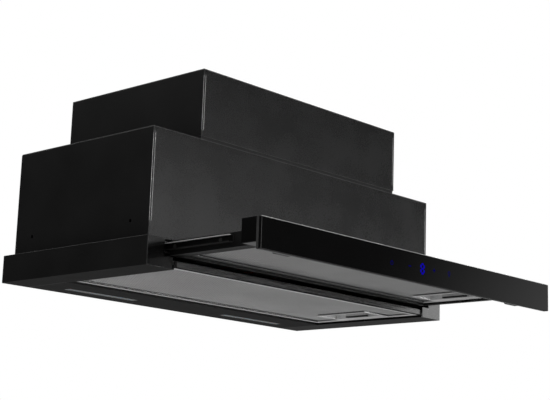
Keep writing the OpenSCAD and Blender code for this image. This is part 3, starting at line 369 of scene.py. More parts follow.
# %% Bright metals
rolled_aluminium = finish_of("rolled_aluminium", grey(0.52), grey(0.66), 0.38, 0.5, 500, 0.12, 0.05,
                             (0.04, 1, 1), Metallic=0.6)
# painted shade: a darker aluminium for frame faces that lie in shade
shaded_aluminium = finish_of("shaded_aluminium", grey(0.02), grey(0.035), 0.5, 0.6, 500, 0.12, 0.05,
                             (0.04, 1, 1), Metallic=0.3)
net_aluminium = finish_of("net_aluminium", grey(0.34), grey(0.42), 0.45, 0.6, 900, 0.15, 0.05, Metallic=0.4)
under_rail = finish_of("under_rail", grey(0.11), grey(0.16), 0.45, 0.6, 900, 0.15, 0.05, (0.04, 1, 1),
                       Metallic=0.4)
# painted shade: a darker aluminium for the front filter's bars that lie in shade
shaded_bar_aluminium = finish_of("shaded_bar_aluminium", grey(0.13), grey(0.18), 0.45, 0.6, 900, 0.15, 0.05,
                           (0.04, 1, 1), Metallic=0.4)
# painted shade: a near-black aluminium for the inner layers, which lie in shade behind the nets
shaded_inner_net = finish_of("shaded_inner_net", grey(0.02), grey(0.04), 0.5, 0.65, 900, 0.4, 0.2, Metallic=0.4)
zinc_plate = finish_of("zinc_plate", grey(0.4, -0.02), grey(0.6, -0.01), 0.24, 0.4, 260, 0.08, 0.05,
                       (1, 0.15, 1), Metallic=1.0)
bright_steel = finish_of("bright_steel", grey(0.5), grey(0.66), 0.2, 0.3, 900, 0.06, 0.03, Metallic=1.0)
print("with metals:", len(bpy.data.materials))

# %% [markdown]
# ## Plastics and boards
# The electrics are white, grey and black mouldings on a green circuit board. The lamp lenses are
# frosted acrylic: a milky white whose surface is rough enough to hide the diodes behind it.

# %% Plastics and boards
white_moulding = finish_of("white_moulding", grey(0.6, 0.02), grey(0.7, 0.02), 0.4, 0.55, 1200, 0.15, 0.05)
grey_moulding = finish_of("grey_moulding", grey(0.09), grey(0.13), 0.42, 0.56, 1200, 0.2, 0.05)
frosted_lens = finish_of("frosted_lens", grey(0.1, -0.02), grey(0.13, -0.02), 0.32, 0.42, 1500, 0.3, 0.05,
                         Subsurface_Weight=0.15)
diode_yellow = finish_of("diode_yellow", (0.62, 0.45, 0.08), (0.75, 0.58, 0.12), 0.3, 0.4, 2000, 0.1, 0.02)
board_green = finish_of("board_green", (0.012, 0.075, 0.035), (0.02, 0.12, 0.055), 0.3, 0.42, 800, 0.2, 0.03)
print("with plastics:", len(bpy.data.materials))

# %% [markdown]
# ## The studio
# The background of the photograph is plain white. The world is white only for rays that start at
# the camera; light on the hood comes from a calmer sky, and its reflections see a room that is
# bright in front and to the right and dark to the left, because a black object is drawn by
# what it mirrors. The room's brightness follows the direction alone, never the camera. Each glow
# has a direction, the cosines of the angles to it where it starts and where it is full, and a
# strength.

# %% World
ROOM_LIGHT = 0.42
ROOM_DARK = 0.05
GLOWS = (((0.91, -0.42, 0.05), 0.962, 1.042, 1.77), ((0.545, -0.838, -0.03), 0.972, 0.9976, 19.0),
         ((0.1, 0.2, 1), 0.4, 1.0, 0.5), ((0.1, -0.3, -1), 0.3, 1.0, 0.45))
world = bpy.data.worlds.new("studio")
scene.world = world
world.use_nodes = True
sky = world.node_tree
sky.nodes.clear()
direction = add(sky, "ShaderNodeTexCoord")


def glow(towards, start, end, strength):
    toward = add(sky, "ShaderNodeVectorMath", {0: direction.outputs["Generated"],
                                               1: Vector(towards).normalized()}, operation="DOT_PRODUCT")
    return add(sky, "ShaderNodeMapRange", {"Value": toward.outputs["Value"], "From Min": start,
                                           "From Max": end, "To Max": strength},
               interpolation_type="SMOOTHSTEP").outputs[0]


def total(first, *others):
    for other in others:
        first = add(sky, "ShaderNodeMath", {0: first, 1: other}, operation="ADD").outputs[0]
    return first


room = total(*[glow(*each) for each in GLOWS], ROOM_DARK)
mirrored = add(sky, "ShaderNodeBackground", {"Color": (1, 1, 1, 1), "Strength": room})
soft = add(sky, "ShaderNodeBackground", {"Color": (1, 1, 1, 1), "Strength": ROOM_LIGHT})
white = add(sky, "ShaderNodeBackground", {"Color": (1, 1, 1, 1), "Strength": 1.0})
ray = add(sky, "ShaderNodeLightPath")
shiny = add(sky, "ShaderNodeMath", {0: ray.outputs["Is Glossy Ray"], 1: ray.outputs["Is Transmission Ray"]},
            operation="MAXIMUM")
by_gloss = add(sky, "ShaderNodeMixShader", {0: shiny.outputs[0], 1: soft.outputs[0], 2: mirrored.outputs[0]})
by_camera = add(sky, "ShaderNodeMixShader", {0: ray.outputs["Is Camera Ray"], 1: by_gloss.outputs[0],
                                             2: white.outputs[0]})
add(sky, "ShaderNodeOutputWorld", {"Surface": by_camera.outputs[0]})
print("world nodes:", len(sky.nodes))

# %% [markdown]
# Three large area lamps stand in for soft boxes: a key at the front, a low fill behind the hood
# that reaches the filters, and a weak one above and behind for the edges. A large lamp close by
# gives soft shadows, which suits sheet metal. A small lamp brightens the right cheek.

# %% Lamps and floor
def soft_box(name, place, aim, size, watts):
    data = bpy.data.lights.new(name, "AREA")
    data.size = size
    data.energy = watts
    lamp = bpy.data.objects.new(name, data)
    scene.collection.objects.link(lamp)
    lamp.location = place
    lamp.rotation_euler = (Vector(aim) - Vector(place)).to_track_quat("-Z", "Y").to_euler()
    return lamp


HOOD_MIDDLE = (0, 0.04, 0.08)
soft_box("key", (-0.2, -2.6, 0.3), HOOD_MIDDLE, 1.6, 34)
under = soft_box("under", (0.2, 1.2, -0.8), (0, 0, -0.03), 1.2, 20)
under.visible_glossy = False
soft_box("rim", (-0.8, 1.6, 1.6), HOOD_MIDDLE, 1.2, 10)
small = soft_box("cheek_light", (0.765, -0.368, 0.056), (0.285, -0.008, -0.022), 0.12, 0.14)
small.visible_camera = False

bpy.ops.mesh.primitive_circle_add(vertices=96, radius=7, fill_type="NGON", location=(0, 0, -1.9))
floor = name_it("floor")
settle(floor)
floor.data.materials.append(finish_of("pale_floor", grey(0.78), grey(0.82), 0.7, 0.85, 30, 0.02, 1.0))
print("lamps:", len(bpy.data.lights))

# %% [markdown]
# ## Folded sheet steel
# The canopy, the casing and the motor box are folded from 1 mm steel and powder coated. Powder pulls back
# from a fold as it melts, so the coat there is thin. We copy the CAD shape, round its edges with a Bevel
# modifier, and let the modifier give the new edge faces their own, paler material: partly that thin coat,
# partly a painted highlight that draws each edge as a fine lighter line. Modelling every fold again by
# extruding would only repeat what the CAD model already says.

# %% Edge finishes
# The paler edge black is partly the thin coat and partly a painted highlight; the pale metallic finish below
# is only a painted highlight, for the corner lines.
edge_black = finish_of("edge_black", grey(0.03), grey(0.05), 0.35, 0.45, 500, 0.1, 0.05,
                       Specular_IOR_Level=0.4)
corner_highlight = finish_of("corner_highlight", grey(0.3), grey(0.42), 0.35, 0.5, 300, 0.1, 0.05, Metallic=0.5)
FOLD_ROUND = 0.35


def cut_at(piece, axis, value):
    across = [float(letter == axis) for letter in "xyz"]
    edit(piece)
    bpy.ops.mesh.select_all(action="SELECT")
    bpy.ops.mesh.bisect(plane_co=[value * part for part in across], plane_no=across)
    done()


def fold(node, material, levels=()):
    piece = merged_copy(node, f"{node}_folded")
    for z in levels:
        cut_at(piece, "z", z)
    wear(piece, material, edge_black)
    soften(piece, FOLD_ROUND, edge_index=1)
    declare(piece, node)
    return piece


# %% [markdown]
# The canopy is the low frame that seats against the cabinet: a folded channel at each side, a strip and a bar
# across the front, a skirt behind and the lamp panel below. The narrow cheeks at the front ends are polished
# like the glass, and the bar between them is dark polished metal, so both are drawn by what they mirror. The
# bar's lower edge and its ends are painted, so it is cut there. A small plate, the wing, is joined to each
# channel and closes the foot of its cheek's slot. The faces that look into the hood and the lamp panel's
# front flange wear the darkest black as painted shade, and the left channel's underside is painted darker
# than the right one's, also as painted shade.

# %% Canopy
CHEEK_WING = (255.5, 272)
WING_HEIGHT = 15.5
WING_WALL = 0.94
WING_GAP = 0.1
SHEET = 1
NEAR = 0.2
SHADE_HEIGHT = 12
BEHIND_BAR = 1.5
for node in ("front_ledge", "rear_skirt"):
    fold(node, satin_black)
panel = fold("lamp_panel", under_black)
panel.data.materials.append(cap_and_shade_black)
panel_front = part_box("lamp_panel")[0].y + SHEET * MM
# painted shade: the lamp panel's front flange wears the darkest black
paint_faces(panel, 2, lambda c, n: c.y < panel_front and n.z > -0.9)
bar_low, bar_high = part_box("front_crossbar")
inner_edge = max(abs(bar_low.x), abs(bar_high.x)) + BEHIND_BAR * MM
for side, hand in (("left", -1), ("right", 1)):
    node = f"side_channel_{side}"
    channel = merged_copy(node, f"{node}_folded")
    low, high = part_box(node)
    bpy.ops.object.select_all(action="DESELECT")
    bpy.ops.mesh.primitive_cube_add(size=1, location=(hand * sum(CHEEK_WING) / 2 * MM, low.y + SHEET / 2 * MM,
                                                      low.z + WING_HEIGHT / 2 * MM))
    wing = name_it(f"wing_{side}")
    wing.scale = ((CHEEK_WING[1] - CHEEK_WING[0]) * MM, WING_WALL * MM, (WING_HEIGHT - WING_GAP) * MM)
    settle(wing)
    channel = join(f"{node}_folded", [channel, wing])
    wear(channel, satin_black, edge_black, cheek_gloss, under_black, cap_and_shade_black)
    soften(channel, FOLD_ROUND, edge_index=1)
    paint_faces(channel, 2, lambda c, n: n.y < -0.9 and c.y < low.y + NEAR * MM)
    # painted shade: the left channel's underside wears a darker black than the right's
    if side == "left":
        paint_faces(channel, 3, lambda c, n: n.z < -0.9 and c.z < low.z + NEAR * MM)
    # painted shade: the faces that look into the hood wear the darkest black
    paint_faces(channel, 4, lambda c, n: abs(c.x) < inner_edge and c.z < low.z + SHADE_HEIGHT * MM
                and abs(n.x) > 0.2)
    declare(channel, node)

BAR_DARK_EDGE = 1.3
BAR_END = 248.5
crossbar = merged_copy("front_crossbar", "front_crossbar_folded")
for axis, value in (("z", bar_low.z + BAR_DARK_EDGE * MM), ("x", -BAR_END * MM), ("x", BAR_END * MM)):
    cut_at(crossbar, axis, value)
soften(crossbar, 0.25)
wear(crossbar, polished_bar, under_black)
paint_faces(crossbar, 1, lambda c, n: c.z < bar_low.z + BAR_DARK_EDGE * MM or abs(c.x) > BAR_END * MM)
declare(crossbar, "front_crossbar")
print("crossbar", round(bar_low.x, 4), round(bar_high.x, 4))

# %% [markdown]
# The casing and the motor box have a side panel at each end whose narrow return shows at the front corner,
# beside the front panel. Between two heights, the corner and the cut edge beside it wear a pale metallic
# material, a painted highlight that draws them as a pair of fine bright lines. The panels are cut at those
# heights first, so that the lines can start and stop there. The lowest strip of the casing's front is cut off
# the same way and wears the darkest black as painted shade.

# %% Casing and motor box
CORNER_REACH = 4.6
CORNER_DEPTH = 0.9
RIM = 10
CASING_LINES = (22, 8)
BOX_LINES = (8, 8)
BOTTOM_SHADE = 2.8


# painted highlight: gives the corner's edge faces between two heights the pale metallic material
def highlight_the_corner(piece, low_z, high_z):
    places = [vertex.co for vertex in piece.data.vertices]
    corner_x = max(abs(place.x) for place in places)
    front_y = min(place.y for place in places)
    highlighted = 0
    for face in piece.data.polygons:
        centre = face.center
        at_corner = abs(centre.x) > corner_x - CORNER_REACH * MM and centre.y < front_y + CORNER_DEPTH * MM
        upright = abs(face.normal.z) < 0.3
        if face.material_index == 1 and upright and at_corner and low_z < centre.z < high_z:
            face.material_index = 2
            highlighted += 1
    return highlighted


for name, body in (("casing", "casing_side_left"), ("motor_box", "motor_box_side_left")):
    low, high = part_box(body)
    first, last = CASING_LINES if name == "casing" else BOX_LINES
    levels = [low.z + first * MM, high.z - last * MM]
    front = "casing_front_panel" if name == "casing" else "motor_box_front"
    shade_z = low.z + BOTTOM_SHADE * MM
    for node, material, slot in ((f"{name}_side_left", satin_black, "black_paint"),
                                 (f"{name}_side_right", satin_black, "black_paint"),
                                 (front, front_black, "dark_paint")):
        panel = fold(node, material, levels + ([shade_z] if node == "casing_front_panel" else []))
        panel.data.materials.append(corner_highlight)
        print(panel.name, "bare edge faces", highlight_the_corner(panel, *levels))
        paint_faces(panel, 0, lambda c, n: abs(n.x) < 0.99 and low.y + RIM * MM < c.y < high.y - RIM * MM
                    and low.z + RIM * MM < c.z < high.z - RIM * MM)
        # painted shade: the casing front's lowest strip wears the darkest black
        if node == "casing_front_panel":
            panel.data.materials.append(cap_and_shade_black)
            paint_faces(panel, 3, lambda c, n: c.z < shade_z)
for node in ("casing_top_panels", "rear_panel", "motor_box_top"):
    fold(node, satin_black)

# %% [markdown]
# ## The filter tray
# The tray is a shallow folded pan that carries the front filter. Its long arms stay between the
# slides when it is out, and a small magnet at the end of the right arm tells the hood that the
# tray is in.

# %% Tray
tray = fold("tray_frame", dipped_black)
dress("tray_magnet", "plated", bright_steel, 0.4)
print(tray.name, len(tray.data.polygons), "faces")

# %% [markdown]
# ## The slides
# Each slide is a pair of rolled steel channels with a ball cage between them. They are dipped black like the
# tray. The outer strip of the inner channel's top flange is painted bright, a painted highlight along its
# edge, and the rivets that hold it to the tray are a little paler.

# %% Slides
FLANGE = 1.3
HIGHLIGHT_STRIP = 3
WEB = 1.2
RIVET_HEIGHT = 1.6
RIVET_RADIUS = 2.9
# painted highlight: a pale finish for edges drawn as bright lines, here and on the glass
painted_highlight = finish_of("painted_highlight", grey(0.7), grey(0.8), 0.35, 0.5, 300, 0.1, 0.05, Metallic=0.3)
for side in ("left", "right"):
    dress(f"slide_outer_{side}", "rolled", dipped_black, 0.2)
    low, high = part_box(f"slide_inner_{side}")
    inner = dress(f"slide_inner_{side}", "rolled", dipped_black, 0.2)
    outer_x = max(abs(low.x), abs(high.x))
    web_x = min(abs(low.x), abs(high.x)) + WEB * MM
    for hand in (-1, 1):
        cut_at(inner, "x", hand * (outer_x - HIGHLIGHT_STRIP * MM))
    inner.data.materials.append(painted_highlight)
    inner.data.materials.append(edge_black)
    flange_z = high.z - FLANGE * MM
    middle_z = (low.z + high.z) / 2
    # painted highlight: the outer strip of the top flange wears the pale finish
    paint_faces(inner, 1, lambda c, n: c.z > flange_z and abs(c.x) > outer_x - HIGHLIGHT_STRIP * MM and n.z < 0.3)
    paint_faces(inner, 2, lambda c, n: web_x < abs(c.x) < web_x + RIVET_HEIGHT * MM
                and abs(c.z - middle_z) < RIVET_RADIUS * MM)
    dress(f"slide_cage_{side}", "pressed", bright_steel, 0)
print("inner channel from", round(low.z, 4), "to", round(high.z, 4))

# %% [markdown]
# ## The pull-out front
# A strip of black glass is bonded to a hollow aluminium rail. The rail is extruded, so its long edges are
# crisp, and its underside is a paler grey. A moulded cap closes each end; the sides of its front lip are
# smoother and painted paler, a painted highlight. The board behind the glass carries four touch keys and a
# digit between them.

# %% Pull-out front
CAP_LIP = 4
BOARD_WALL = 1.6
ON_BOARD = 0.3
KEYS_FROM = 10
DIGIT_TO = 8
lip_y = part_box("panel_housing")[0].y + CAP_LIP * MM
housing = dress("panel_housing", "extruded", anodised_black, 0.3)
housing.data.materials.append(under_rail)
paint_faces(housing, 1, lambda c, n: n.z < -0.5)
for side in ("left", "right"):
    cap = merged_copy(f"end_cap_{side}", f"end_cap_{side}_moulded")
    cut_at(cap, "y", lip_y)
    soften(cap, 0.5)
    wear(cap, cap_and_shade_black, edge_black)
    # painted highlight: the sides of the front lip wear the paler edge black
    paint_faces(cap, 1, lambda c, n: c.y < lip_y and abs(n.x) > 0.9)
    declare(cap, f"end_cap_{side}")
dress("panel_bumpers", "rubber", rubber_grey, 1.2, 3)
board = dress("touch_board", "populated", board_green, 0)
board.data.materials.append(bright_steel)
board.data.materials.append(moulded_black)
parts_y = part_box("touch_board")[1].y - (BOARD_WALL + ON_BOARD) * MM
paint_faces(board, 1, lambda c, n: c.y < parts_y and abs(c.x) > KEYS_FROM * MM)
paint_faces(board, 2, lambda c, n: c.y < parts_y and abs(c.x) < DIGIT_TO * MM)
print("caps' lip at", round(lip_y, 4), "parts from", round(parts_y, 4))

# %% [markdown]
# ## The grease filters
# Each filter is a folded aluminium channel round a pack of layers. The outer layer is expanded
# metal: sheet that is slit and pulled into a net of small diamonds, longer one way than the
# other. A procedural pattern could paint the diamonds, but then nothing would show through them
# and the edges would stay flat. A grid turned by 45 degrees and stretched, with every diamond
# inset and its middle deleted, is that net in real geometry, and Solidify gives the strands
# their thickness.

# %% The diamond net
STRAND = 1.0
DIAMOND_X = 4.0
DIAMOND_Y = 5.9
NET_WALL = 0.6


def trim(piece, corner, normals, level, clear=True):
    for normal in normals:
        bpy.ops.mesh.select_all(action="SELECT")
        bpy.ops.mesh.bisect(plane_co=(corner[0], corner[1], level), plane_no=normal, clear_inner=clear)


def diamond_net(name, low, high, level):
    stretch = DIAMOND_Y / DIAMOND_X
    cell = DIAMOND_X / math.sqrt(2) * MM
    width, depth = high[0] - low[0], (high[1] - low[1]) / stretch
    count = math.ceil((width + depth) / math.sqrt(2) / cell) + 2
    middle = ((low[0] + high[0]) / 2, (low[1] + high[1]) / 2, level)
    bpy.ops.object.select_all(action="DESELECT")
    bpy.ops.mesh.primitive_grid_add(x_subdivisions=count, y_subdivisions=count, size=count * cell,
                                    location=middle, rotation=(0, 0, math.radians(45)))
    net = name_it(name)
    settle(net)
    edit(net)
    bpy.ops.mesh.select_all(action="SELECT")
    bpy.ops.transform.resize(value=(1, stretch, 1), center_override=middle)
    reach = DIAMOND_Y * MM
    select_faces(net, lambda c, n: not (low[0] - reach < c.x < high[0] + reach
                                        and low[1] - reach < c.y < high[1] + reach))
    bpy.ops.mesh.delete(type="FACE")
    bpy.ops.mesh.select_all(action="SELECT")
    bpy.ops.mesh.inset(thickness=STRAND / 2 * MM, use_individual=True, use_boundary=True)
    bpy.ops.mesh.delete(type="FACE")
    trim(net, low, ((1, 0, 0), (0, 1, 0)), level)
    trim(net, high, ((-1, 0, 0), (0, -1, 0)), level)
    done()
    return net


def cut_window(net, low, high, level):
    edit(net)
    for corner in (low, high):
        trim(net, corner, ((1, 0, 0), (0, 1, 0)), level, clear=False)
    select_faces(net, lambda c, n: low[0] < c.x < high[0] and low[1] < c.y < high[1])
    bpy.ops.mesh.delete(type="FACE")
    done()


def thicken(piece, thickness):
    pick(piece)
    wall = piece.modifiers.new("wall", "SOLIDIFY")
    wall.thickness = thickness * MM
    wall.offset = 0
    bpy.ops.object.modifier_apply(modifier=wall.name)


def triangles(piece):
    return sum(len(face.vertices) - 2 for face in piece.data.polygons)


# %% [markdown]
# The nets lie under the rims around them, and their rear and left rims are darkened with painted shade, the
# shade those rims would cast. That painted shade follows the piece itself, so it is a mask on Object
# coordinates, from 0 at the rim to 1 in the open. Each filter has the distances, in millimetres, where the
# painted shade starts to fade and where it has gone, at the rear and at the left.

# %% The nets' painted rim shade
rim_shade, r_in, r_out = new_group(
    "rim_shade",
    [(FLOAT, "Rear", 0.0), (FLOAT, "Rear Start", 0.0), (FLOAT, "Rear Fade", 0.03),
     (FLOAT, "Left", 0.0), (FLOAT, "Left Start", 0.0), (FLOAT, "Left Fade", 0.02),
     (COLOR, "Color", None), (COLOR, "Rim", None)],
    [(COLOR, "Color")])
where = add(rim_shade, "ShaderNodeSeparateXYZ",
            {0: add(rim_shade, "ShaderNodeTexCoord").outputs["Object"]})
from_rear = add(rim_shade, "ShaderNodeMath", {0: r_in.outputs["Rear"], 1: where.outputs["Y"]},
                operation="SUBTRACT")
from_left = add(rim_shade, "ShaderNodeMath", {0: where.outputs["X"], 1: r_in.outputs["Left"]},
                operation="SUBTRACT")
rear_open, left_open = [
    add(rim_shade, "ShaderNodeMapRange", {"Value": distance.outputs[0],
                                          "From Min": r_in.outputs[f"{edge} Start"],
                                          "From Max": r_in.outputs[f"{edge} Fade"]},
        interpolation_type="SMOOTHSTEP")
    for distance, edge in ((from_rear, "Rear"), (from_left, "Left"))]
open_net = add(rim_shade, "ShaderNodeMath", {0: rear_open.outputs[0], 1: left_open.outputs[0]},
               operation="MULTIPLY")
shaded = add(rim_shade, "ShaderNodeMix", {0: open_net.outputs[0], 6: r_in.outputs["Rim"],
                                          7: r_in.outputs["Color"]}, data_type="RGBA")
rim_shade.links.new(shaded.outputs[2], r_out.inputs["Color"])


def with_painted_rim_shade(material, which, rear, left, darkest):
    shaded_copy = material.copy()
    shaded_copy.name = f"{material.name}_{which}"
    tree = shaded_copy.node_tree
    shader = tree.nodes["Principled BSDF"]
    source = shader.inputs["Base Color"].links[0].from_socket
    shade = add(tree, "ShaderNodeGroup", {}, node_tree=rim_shade)
    tree.links.new(source, shade.inputs["Color"])
    low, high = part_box(f"{which}_filter_frame")
    for label, value in (("Rear", high.y), ("Rear Start", rear[0] * MM), ("Rear Fade", rear[1] * MM),
                         ("Left", low.x), ("Left Start", left[0] * MM), ("Left Fade", left[1] * MM),
                         ("Rim", (darkest, darkest, darkest, 1))):
        shade.inputs[label].default_value = value
    tree.links.new(shade.outputs["Color"], shader.inputs["Base Color"])
    return shaded_copy


# painted shade: from the rear and from the left, where it starts to fade and where it has gone
RIM_SHADE_SPANS = {"front": ((-6, 12), (0, 13)), "rear": ((7.5, 10), (4, 22))}
nets = {which: with_painted_rim_shade(net_aluminium, which, *RIM_SHADE_SPANS[which], darkest)
        for which, darkest in (("front", 0.03), ("rear", 0.012))}
shaded_inner_nets = {which: with_painted_rim_shade(shaded_inner_net, which, *RIM_SHADE_SPANS[which], darkest)
              for which, darkest in (("front", 0.01), ("rear", 0.004))}
shaded_front_bars = with_painted_rim_shade(shaded_bar_aluminium, "front", *RIM_SHADE_SPANS["front"], 0.03)
print("dark rims:", shaded_front_bars.name, nets["rear"].name)

# %% [markdown]
# Two nets close the front filter, above and below, and one closes the rear filter from below, because the
# casing hides its top. Each net has a window where the finger pocket is, and the strands close round the
# window are painted black, a painted shade as dark as the pocket's shadow.

# %% Nets
FILTER_HEIGHT = 9
NET_DEPTH = 2.7
NET_IN = 4
POCKET = (38, 88)
POCKET_IN = 20
POCKET_RIM = 1.6
NEAR_GAP = 3.2
for which in ("front", "rear"):
    low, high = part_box(f"{which}_filter_mesh")
    frame_low, frame_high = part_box(f"{which}_filter_frame")
    middle_y = (frame_low.y + frame_high.y) / 2
    pocket_low = (frame_high.x - (POCKET_IN + POCKET[0] + POCKET_RIM) * MM,
                  middle_y - (POCKET[1] / 2 + POCKET_RIM) * MM)
    pocket_high = (high.x + MM, middle_y + (POCKET[1] / 2 + POCKET_RIM) * MM)
    depths = {"lower": NET_DEPTH}
    if which == "front":
        depths["upper"] = FILTER_HEIGHT - NET_DEPTH
    for side, depth in depths.items():
        level = frame_low.z + depth * MM
        net = diamond_net(f"{which}_filter_{side}_net", (low.x + NET_IN * MM, low.y + NET_IN * MM),
                          (high.x - NET_IN * MM, high.y - NET_IN * MM), level)
        cut_window(net, pocket_low, pocket_high, level)
        thicken(net, NET_WALL)
        wear(net, nets[which], cap_and_shade_black)
        # painted shade: the strands close round the pocket's window wear the darkest black
        paint_faces(net, 1, lambda c, n: pocket_low[0] - NEAR_GAP * MM < c.x and c.y < pocket_high[1]
                    and pocket_low[1] - NEAR_GAP * MM < c.y)
        declare(net, f"{which}_filter_mesh")
        print(net.name, "triangles", triangles(net))

# %% [markdown]
# Behind the net lie finer layers that catch the grease. They show only as a dim shimmer through the diamonds,
# so the CAD model's sheets are kept for them, without the outermost ones that the nets have replaced. Their
# near-black aluminium, with the nets' rim shade, is painted shade for layers that lie in the nets' shadow.

# %% Inner layers
LAYERS_FROM = 2.2
LAYERS_TO = 6.8
for which in ("front", "rear"):
    layers = merged_copy(f"{which}_filter_mesh", f"{which}_filter_layers")
    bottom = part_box(f"{which}_filter_frame")[0].z
    edit(layers)
    select_faces(layers, lambda c, n: c.z < bottom + LAYERS_FROM * MM
                 or (which == "front" and c.z > bottom + LAYERS_TO * MM))
    bpy.ops.mesh.delete(type="FACE")
    done()
    wear(layers, shaded_inner_nets[which])
    declare(layers, f"{which}_filter_mesh")
    print(layers.name, "triangles", triangles(layers))

# %% [markdown]
# The frame is folded from bright sheet, the latch is a moulding whose finger bar is metal above, and a small
# wire spring pushes its tongue out. The bars that lie against the hood's black sheet, at the rear and left of
# the front filter and across the front of the rear one, are painted darker: painted shade, for they lie in
# shade. The spring shortens as the latch slides.

# %% Frames and latches
BAR = 8.4
LEFT_SHADE = BAR + 6
FRONT_SHADE = 0.5
INNER_WALL = BAR + 0.3
LATCH_GRIP = 1.8
GRIP_END = 19
for which in ("front", "rear"):
    folded = dress(f"{which}_filter_frame", "folded", rolled_aluminium, 0.3,
                   flatten=False)
    low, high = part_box(f"{which}_filter_frame")
    if which == "front":
        # painted shade: the rear and left bars wear a darker aluminium with the nets' rim shade
        folded.data.materials.append(shaded_front_bars)
        shade_y, shade_x = high.y - BAR * MM, low.x + LEFT_SHADE * MM
        paint_faces(folded, 1, lambda c, n: c.y > shade_y or c.x < shade_x)
    else:
        # painted shade: the front face and the inner face of the rear bar wear a shaded aluminium
        folded.data.materials.append(shaded_aluminium)
        shade_y = low.y + FRONT_SHADE * MM
        wall_y = high.y - INNER_WALL * MM
        paint_faces(folded, 1, lambda c, n: n.y < -0.7 and (c.y < shade_y or wall_y < c.y < wall_y + MM))
    latch = merged_copy(f"{which}_filter_latch", f"{which}_filter_latch_moulded")
    grip_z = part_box(f"{which}_filter_latch")[0].z + LATCH_GRIP * MM
    cut_at(latch, "z", grip_z)
    soften(latch, 0.3)
    wear(latch, moulded_black, net_aluminium)
    grip_x = high.x - GRIP_END * MM
    paint_faces(latch, 1, lambda c, n: c.z > grip_z and c.x < grip_x)
    declare(latch, f"{which}_filter_latch")
    spring = dress(f"{which}_latch_spring", "wire", bright_steel, 0)
    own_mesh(spring)

# %% [markdown]
# ## The lamps
# Two strips of diodes on narrow boards lie above frosted lenses in the lamp panel.

# %% Lamps
DIODE_HEIGHT = 0.7
dress("lamp_lenses", "frosted", frosted_lens, 0.3)
lamp_boards = dress("lamp_boards", "populated", board_green, 0)
lamp_boards.data.materials.append(diode_yellow)
diode_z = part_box("lamp_boards")[0].z + DIODE_HEIGHT * MM
paint_faces(lamp_boards, 1, lambda c, n: c.z < diode_z)
print("diodes below", round(diode_z, 4))

# %% [markdown]
# ## The outlet
# A moulded collar takes the duct, and two half-round flaps on one pin keep cold air out while
# the fan is off. All are the same black plastic with a spark-eroded skin.

# %% Outlet
dress("outlet_collar", "moulded", moulded_black, 0.5)
dress("flap_pin", "turned", bright_steel, 0.2)
for side in ("front", "rear"):
    flap = dress(f"flap_{side}", "moulded", moulded_black, 0.2)
    print(flap.name, "triangles", triangles(flap))

# %% [markdown]
# ## The fan
# The scroll is zinc-plated sheet: a rolled wrapper between two pressed sides with a round eye in
# each. The double-inlet wheel is moulded in grey plastic and sits on the motor's steel shaft,
# and three arms with rubber grommets carry the motor in the left eye.

# %% Fan
for node, ending, material, slot, width in (
        ("scroll_wrapper", "rolled", zinc_plate, "zinc_steel", 0.2),
        ("scroll_side_left", "pressed", zinc_plate, "zinc_steel", 0.2),
        ("scroll_side_right", "pressed", zinc_plate, "zinc_steel", 0.2),
        ("impeller", "moulded", grey_moulding, "grey_plastic", 0),
        ("motor_shaft", "turned", bright_steel, "steel", 0.3),
        ("fan_motor", "cast", front_black, "dark_paint", 0.3),
        ("motor_bracket", "pressed", zinc_plate, "zinc_steel", 0.2),
        ("motor_grommets", "rubber", rubber_black, "rubber", 0.4)):
    print(node, "triangles", triangles(dress(node, ending, material, width)))

# %% [markdown]
# ## The electrics
# A black moulded box under the right shoulder holds the power board with its relays, the run
# capacitor and the terminal block, and the mains cable comes in through a gland in its top. The
# lamps' supply sits under the left shoulder, and a reed sensor beside the right slide feels the
# tray's magnet.

# %% Electrics
POWER_BOARD_WALL = 1.8
for node, ending, material, slot, width in (
        ("control_box", "moulded", moulded_black, "black_plastic", 0.4),
        ("control_box_cover", "moulded", moulded_black, "black_plastic", 0.4),
        ("run_capacitor", "moulded", white_moulding, "white_plastic", 0.6),
        ("terminal_block", "moulded", white_moulding, "white_plastic", 0.3),
        ("cable_gland", "moulded", moulded_black, "black_plastic", 0.5),
        ("lamp_driver", "moulded", white_moulding, "white_plastic", 0.5),
        ("reed_sensor", "moulded", moulded_black, "black_plastic", 0.5)):
    dress(node, ending, material, width)
power_board = dress("power_board", "populated", board_green, 0)
power_board.data.materials.append(grey_moulding)
board_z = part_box("power_board")[1].z - POWER_BOARD_WALL * MM
paint_faces(power_board, 1, lambda c, n: c.z < board_z)
print("power board's parts below", round(board_z, 4))

# %% [markdown]
# ## Screws
# Rolled-thread screws hold the panels, the slides, the cover and the motor. They are bright, and
# each head has a cross recess. The heads are found by walking from vertex to vertex in the
# mesh's own order, so each run is the same. One cross-shaped cutter is modelled, copied to every
# head, and a Boolean modifier cuts them all at once.

# %% Screws
RECESS = 0.9
RECESS_ARM = (2.6, 0.6)


def cross_cutter(name):
    bpy.ops.object.select_all(action="DESELECT")
    bpy.ops.mesh.primitive_cube_add(size=1)
    cross = name_it(name)
    length, width = RECESS_ARM
    cross.scale = (width * MM, width * MM, 2 * RECESS * MM)
    settle(cross)
    edit(cross)
    for way in ((1, 0), (-1, 0), (0, 1), (0, -1)):
        select_faces(cross, lambda c, n: n.x * way[0] + n.y * way[1] > 0.9 and c.length < width * 0.6 * MM)
        shift = [(length - width) / 2 * MM * part for part in (*way, 0)]
        bpy.ops.mesh.extrude_region_move(TRANSFORM_OT_translate={"value": shift})
    done()
    return cross


def loose_heads(node):
    mesh = bmesh.new()
    mesh.from_mesh(frame["nodes"][node].data)
    bmesh.ops.remove_doubles(mesh, verts=mesh.verts, dist=0.002 * MM)
    heads, seen = [], set()
    for start in mesh.verts:
        if start in seen:
            continue
        seen.add(start)
        island = [start]
        for vertex in island:
            for edge in vertex.link_edges:
                other = edge.other_vert(vertex)
                if other not in seen:
                    seen.add(other)
                    island.append(other)
        heads.append([vertex.co.copy() for vertex in island])
    mesh.free()
    return heads


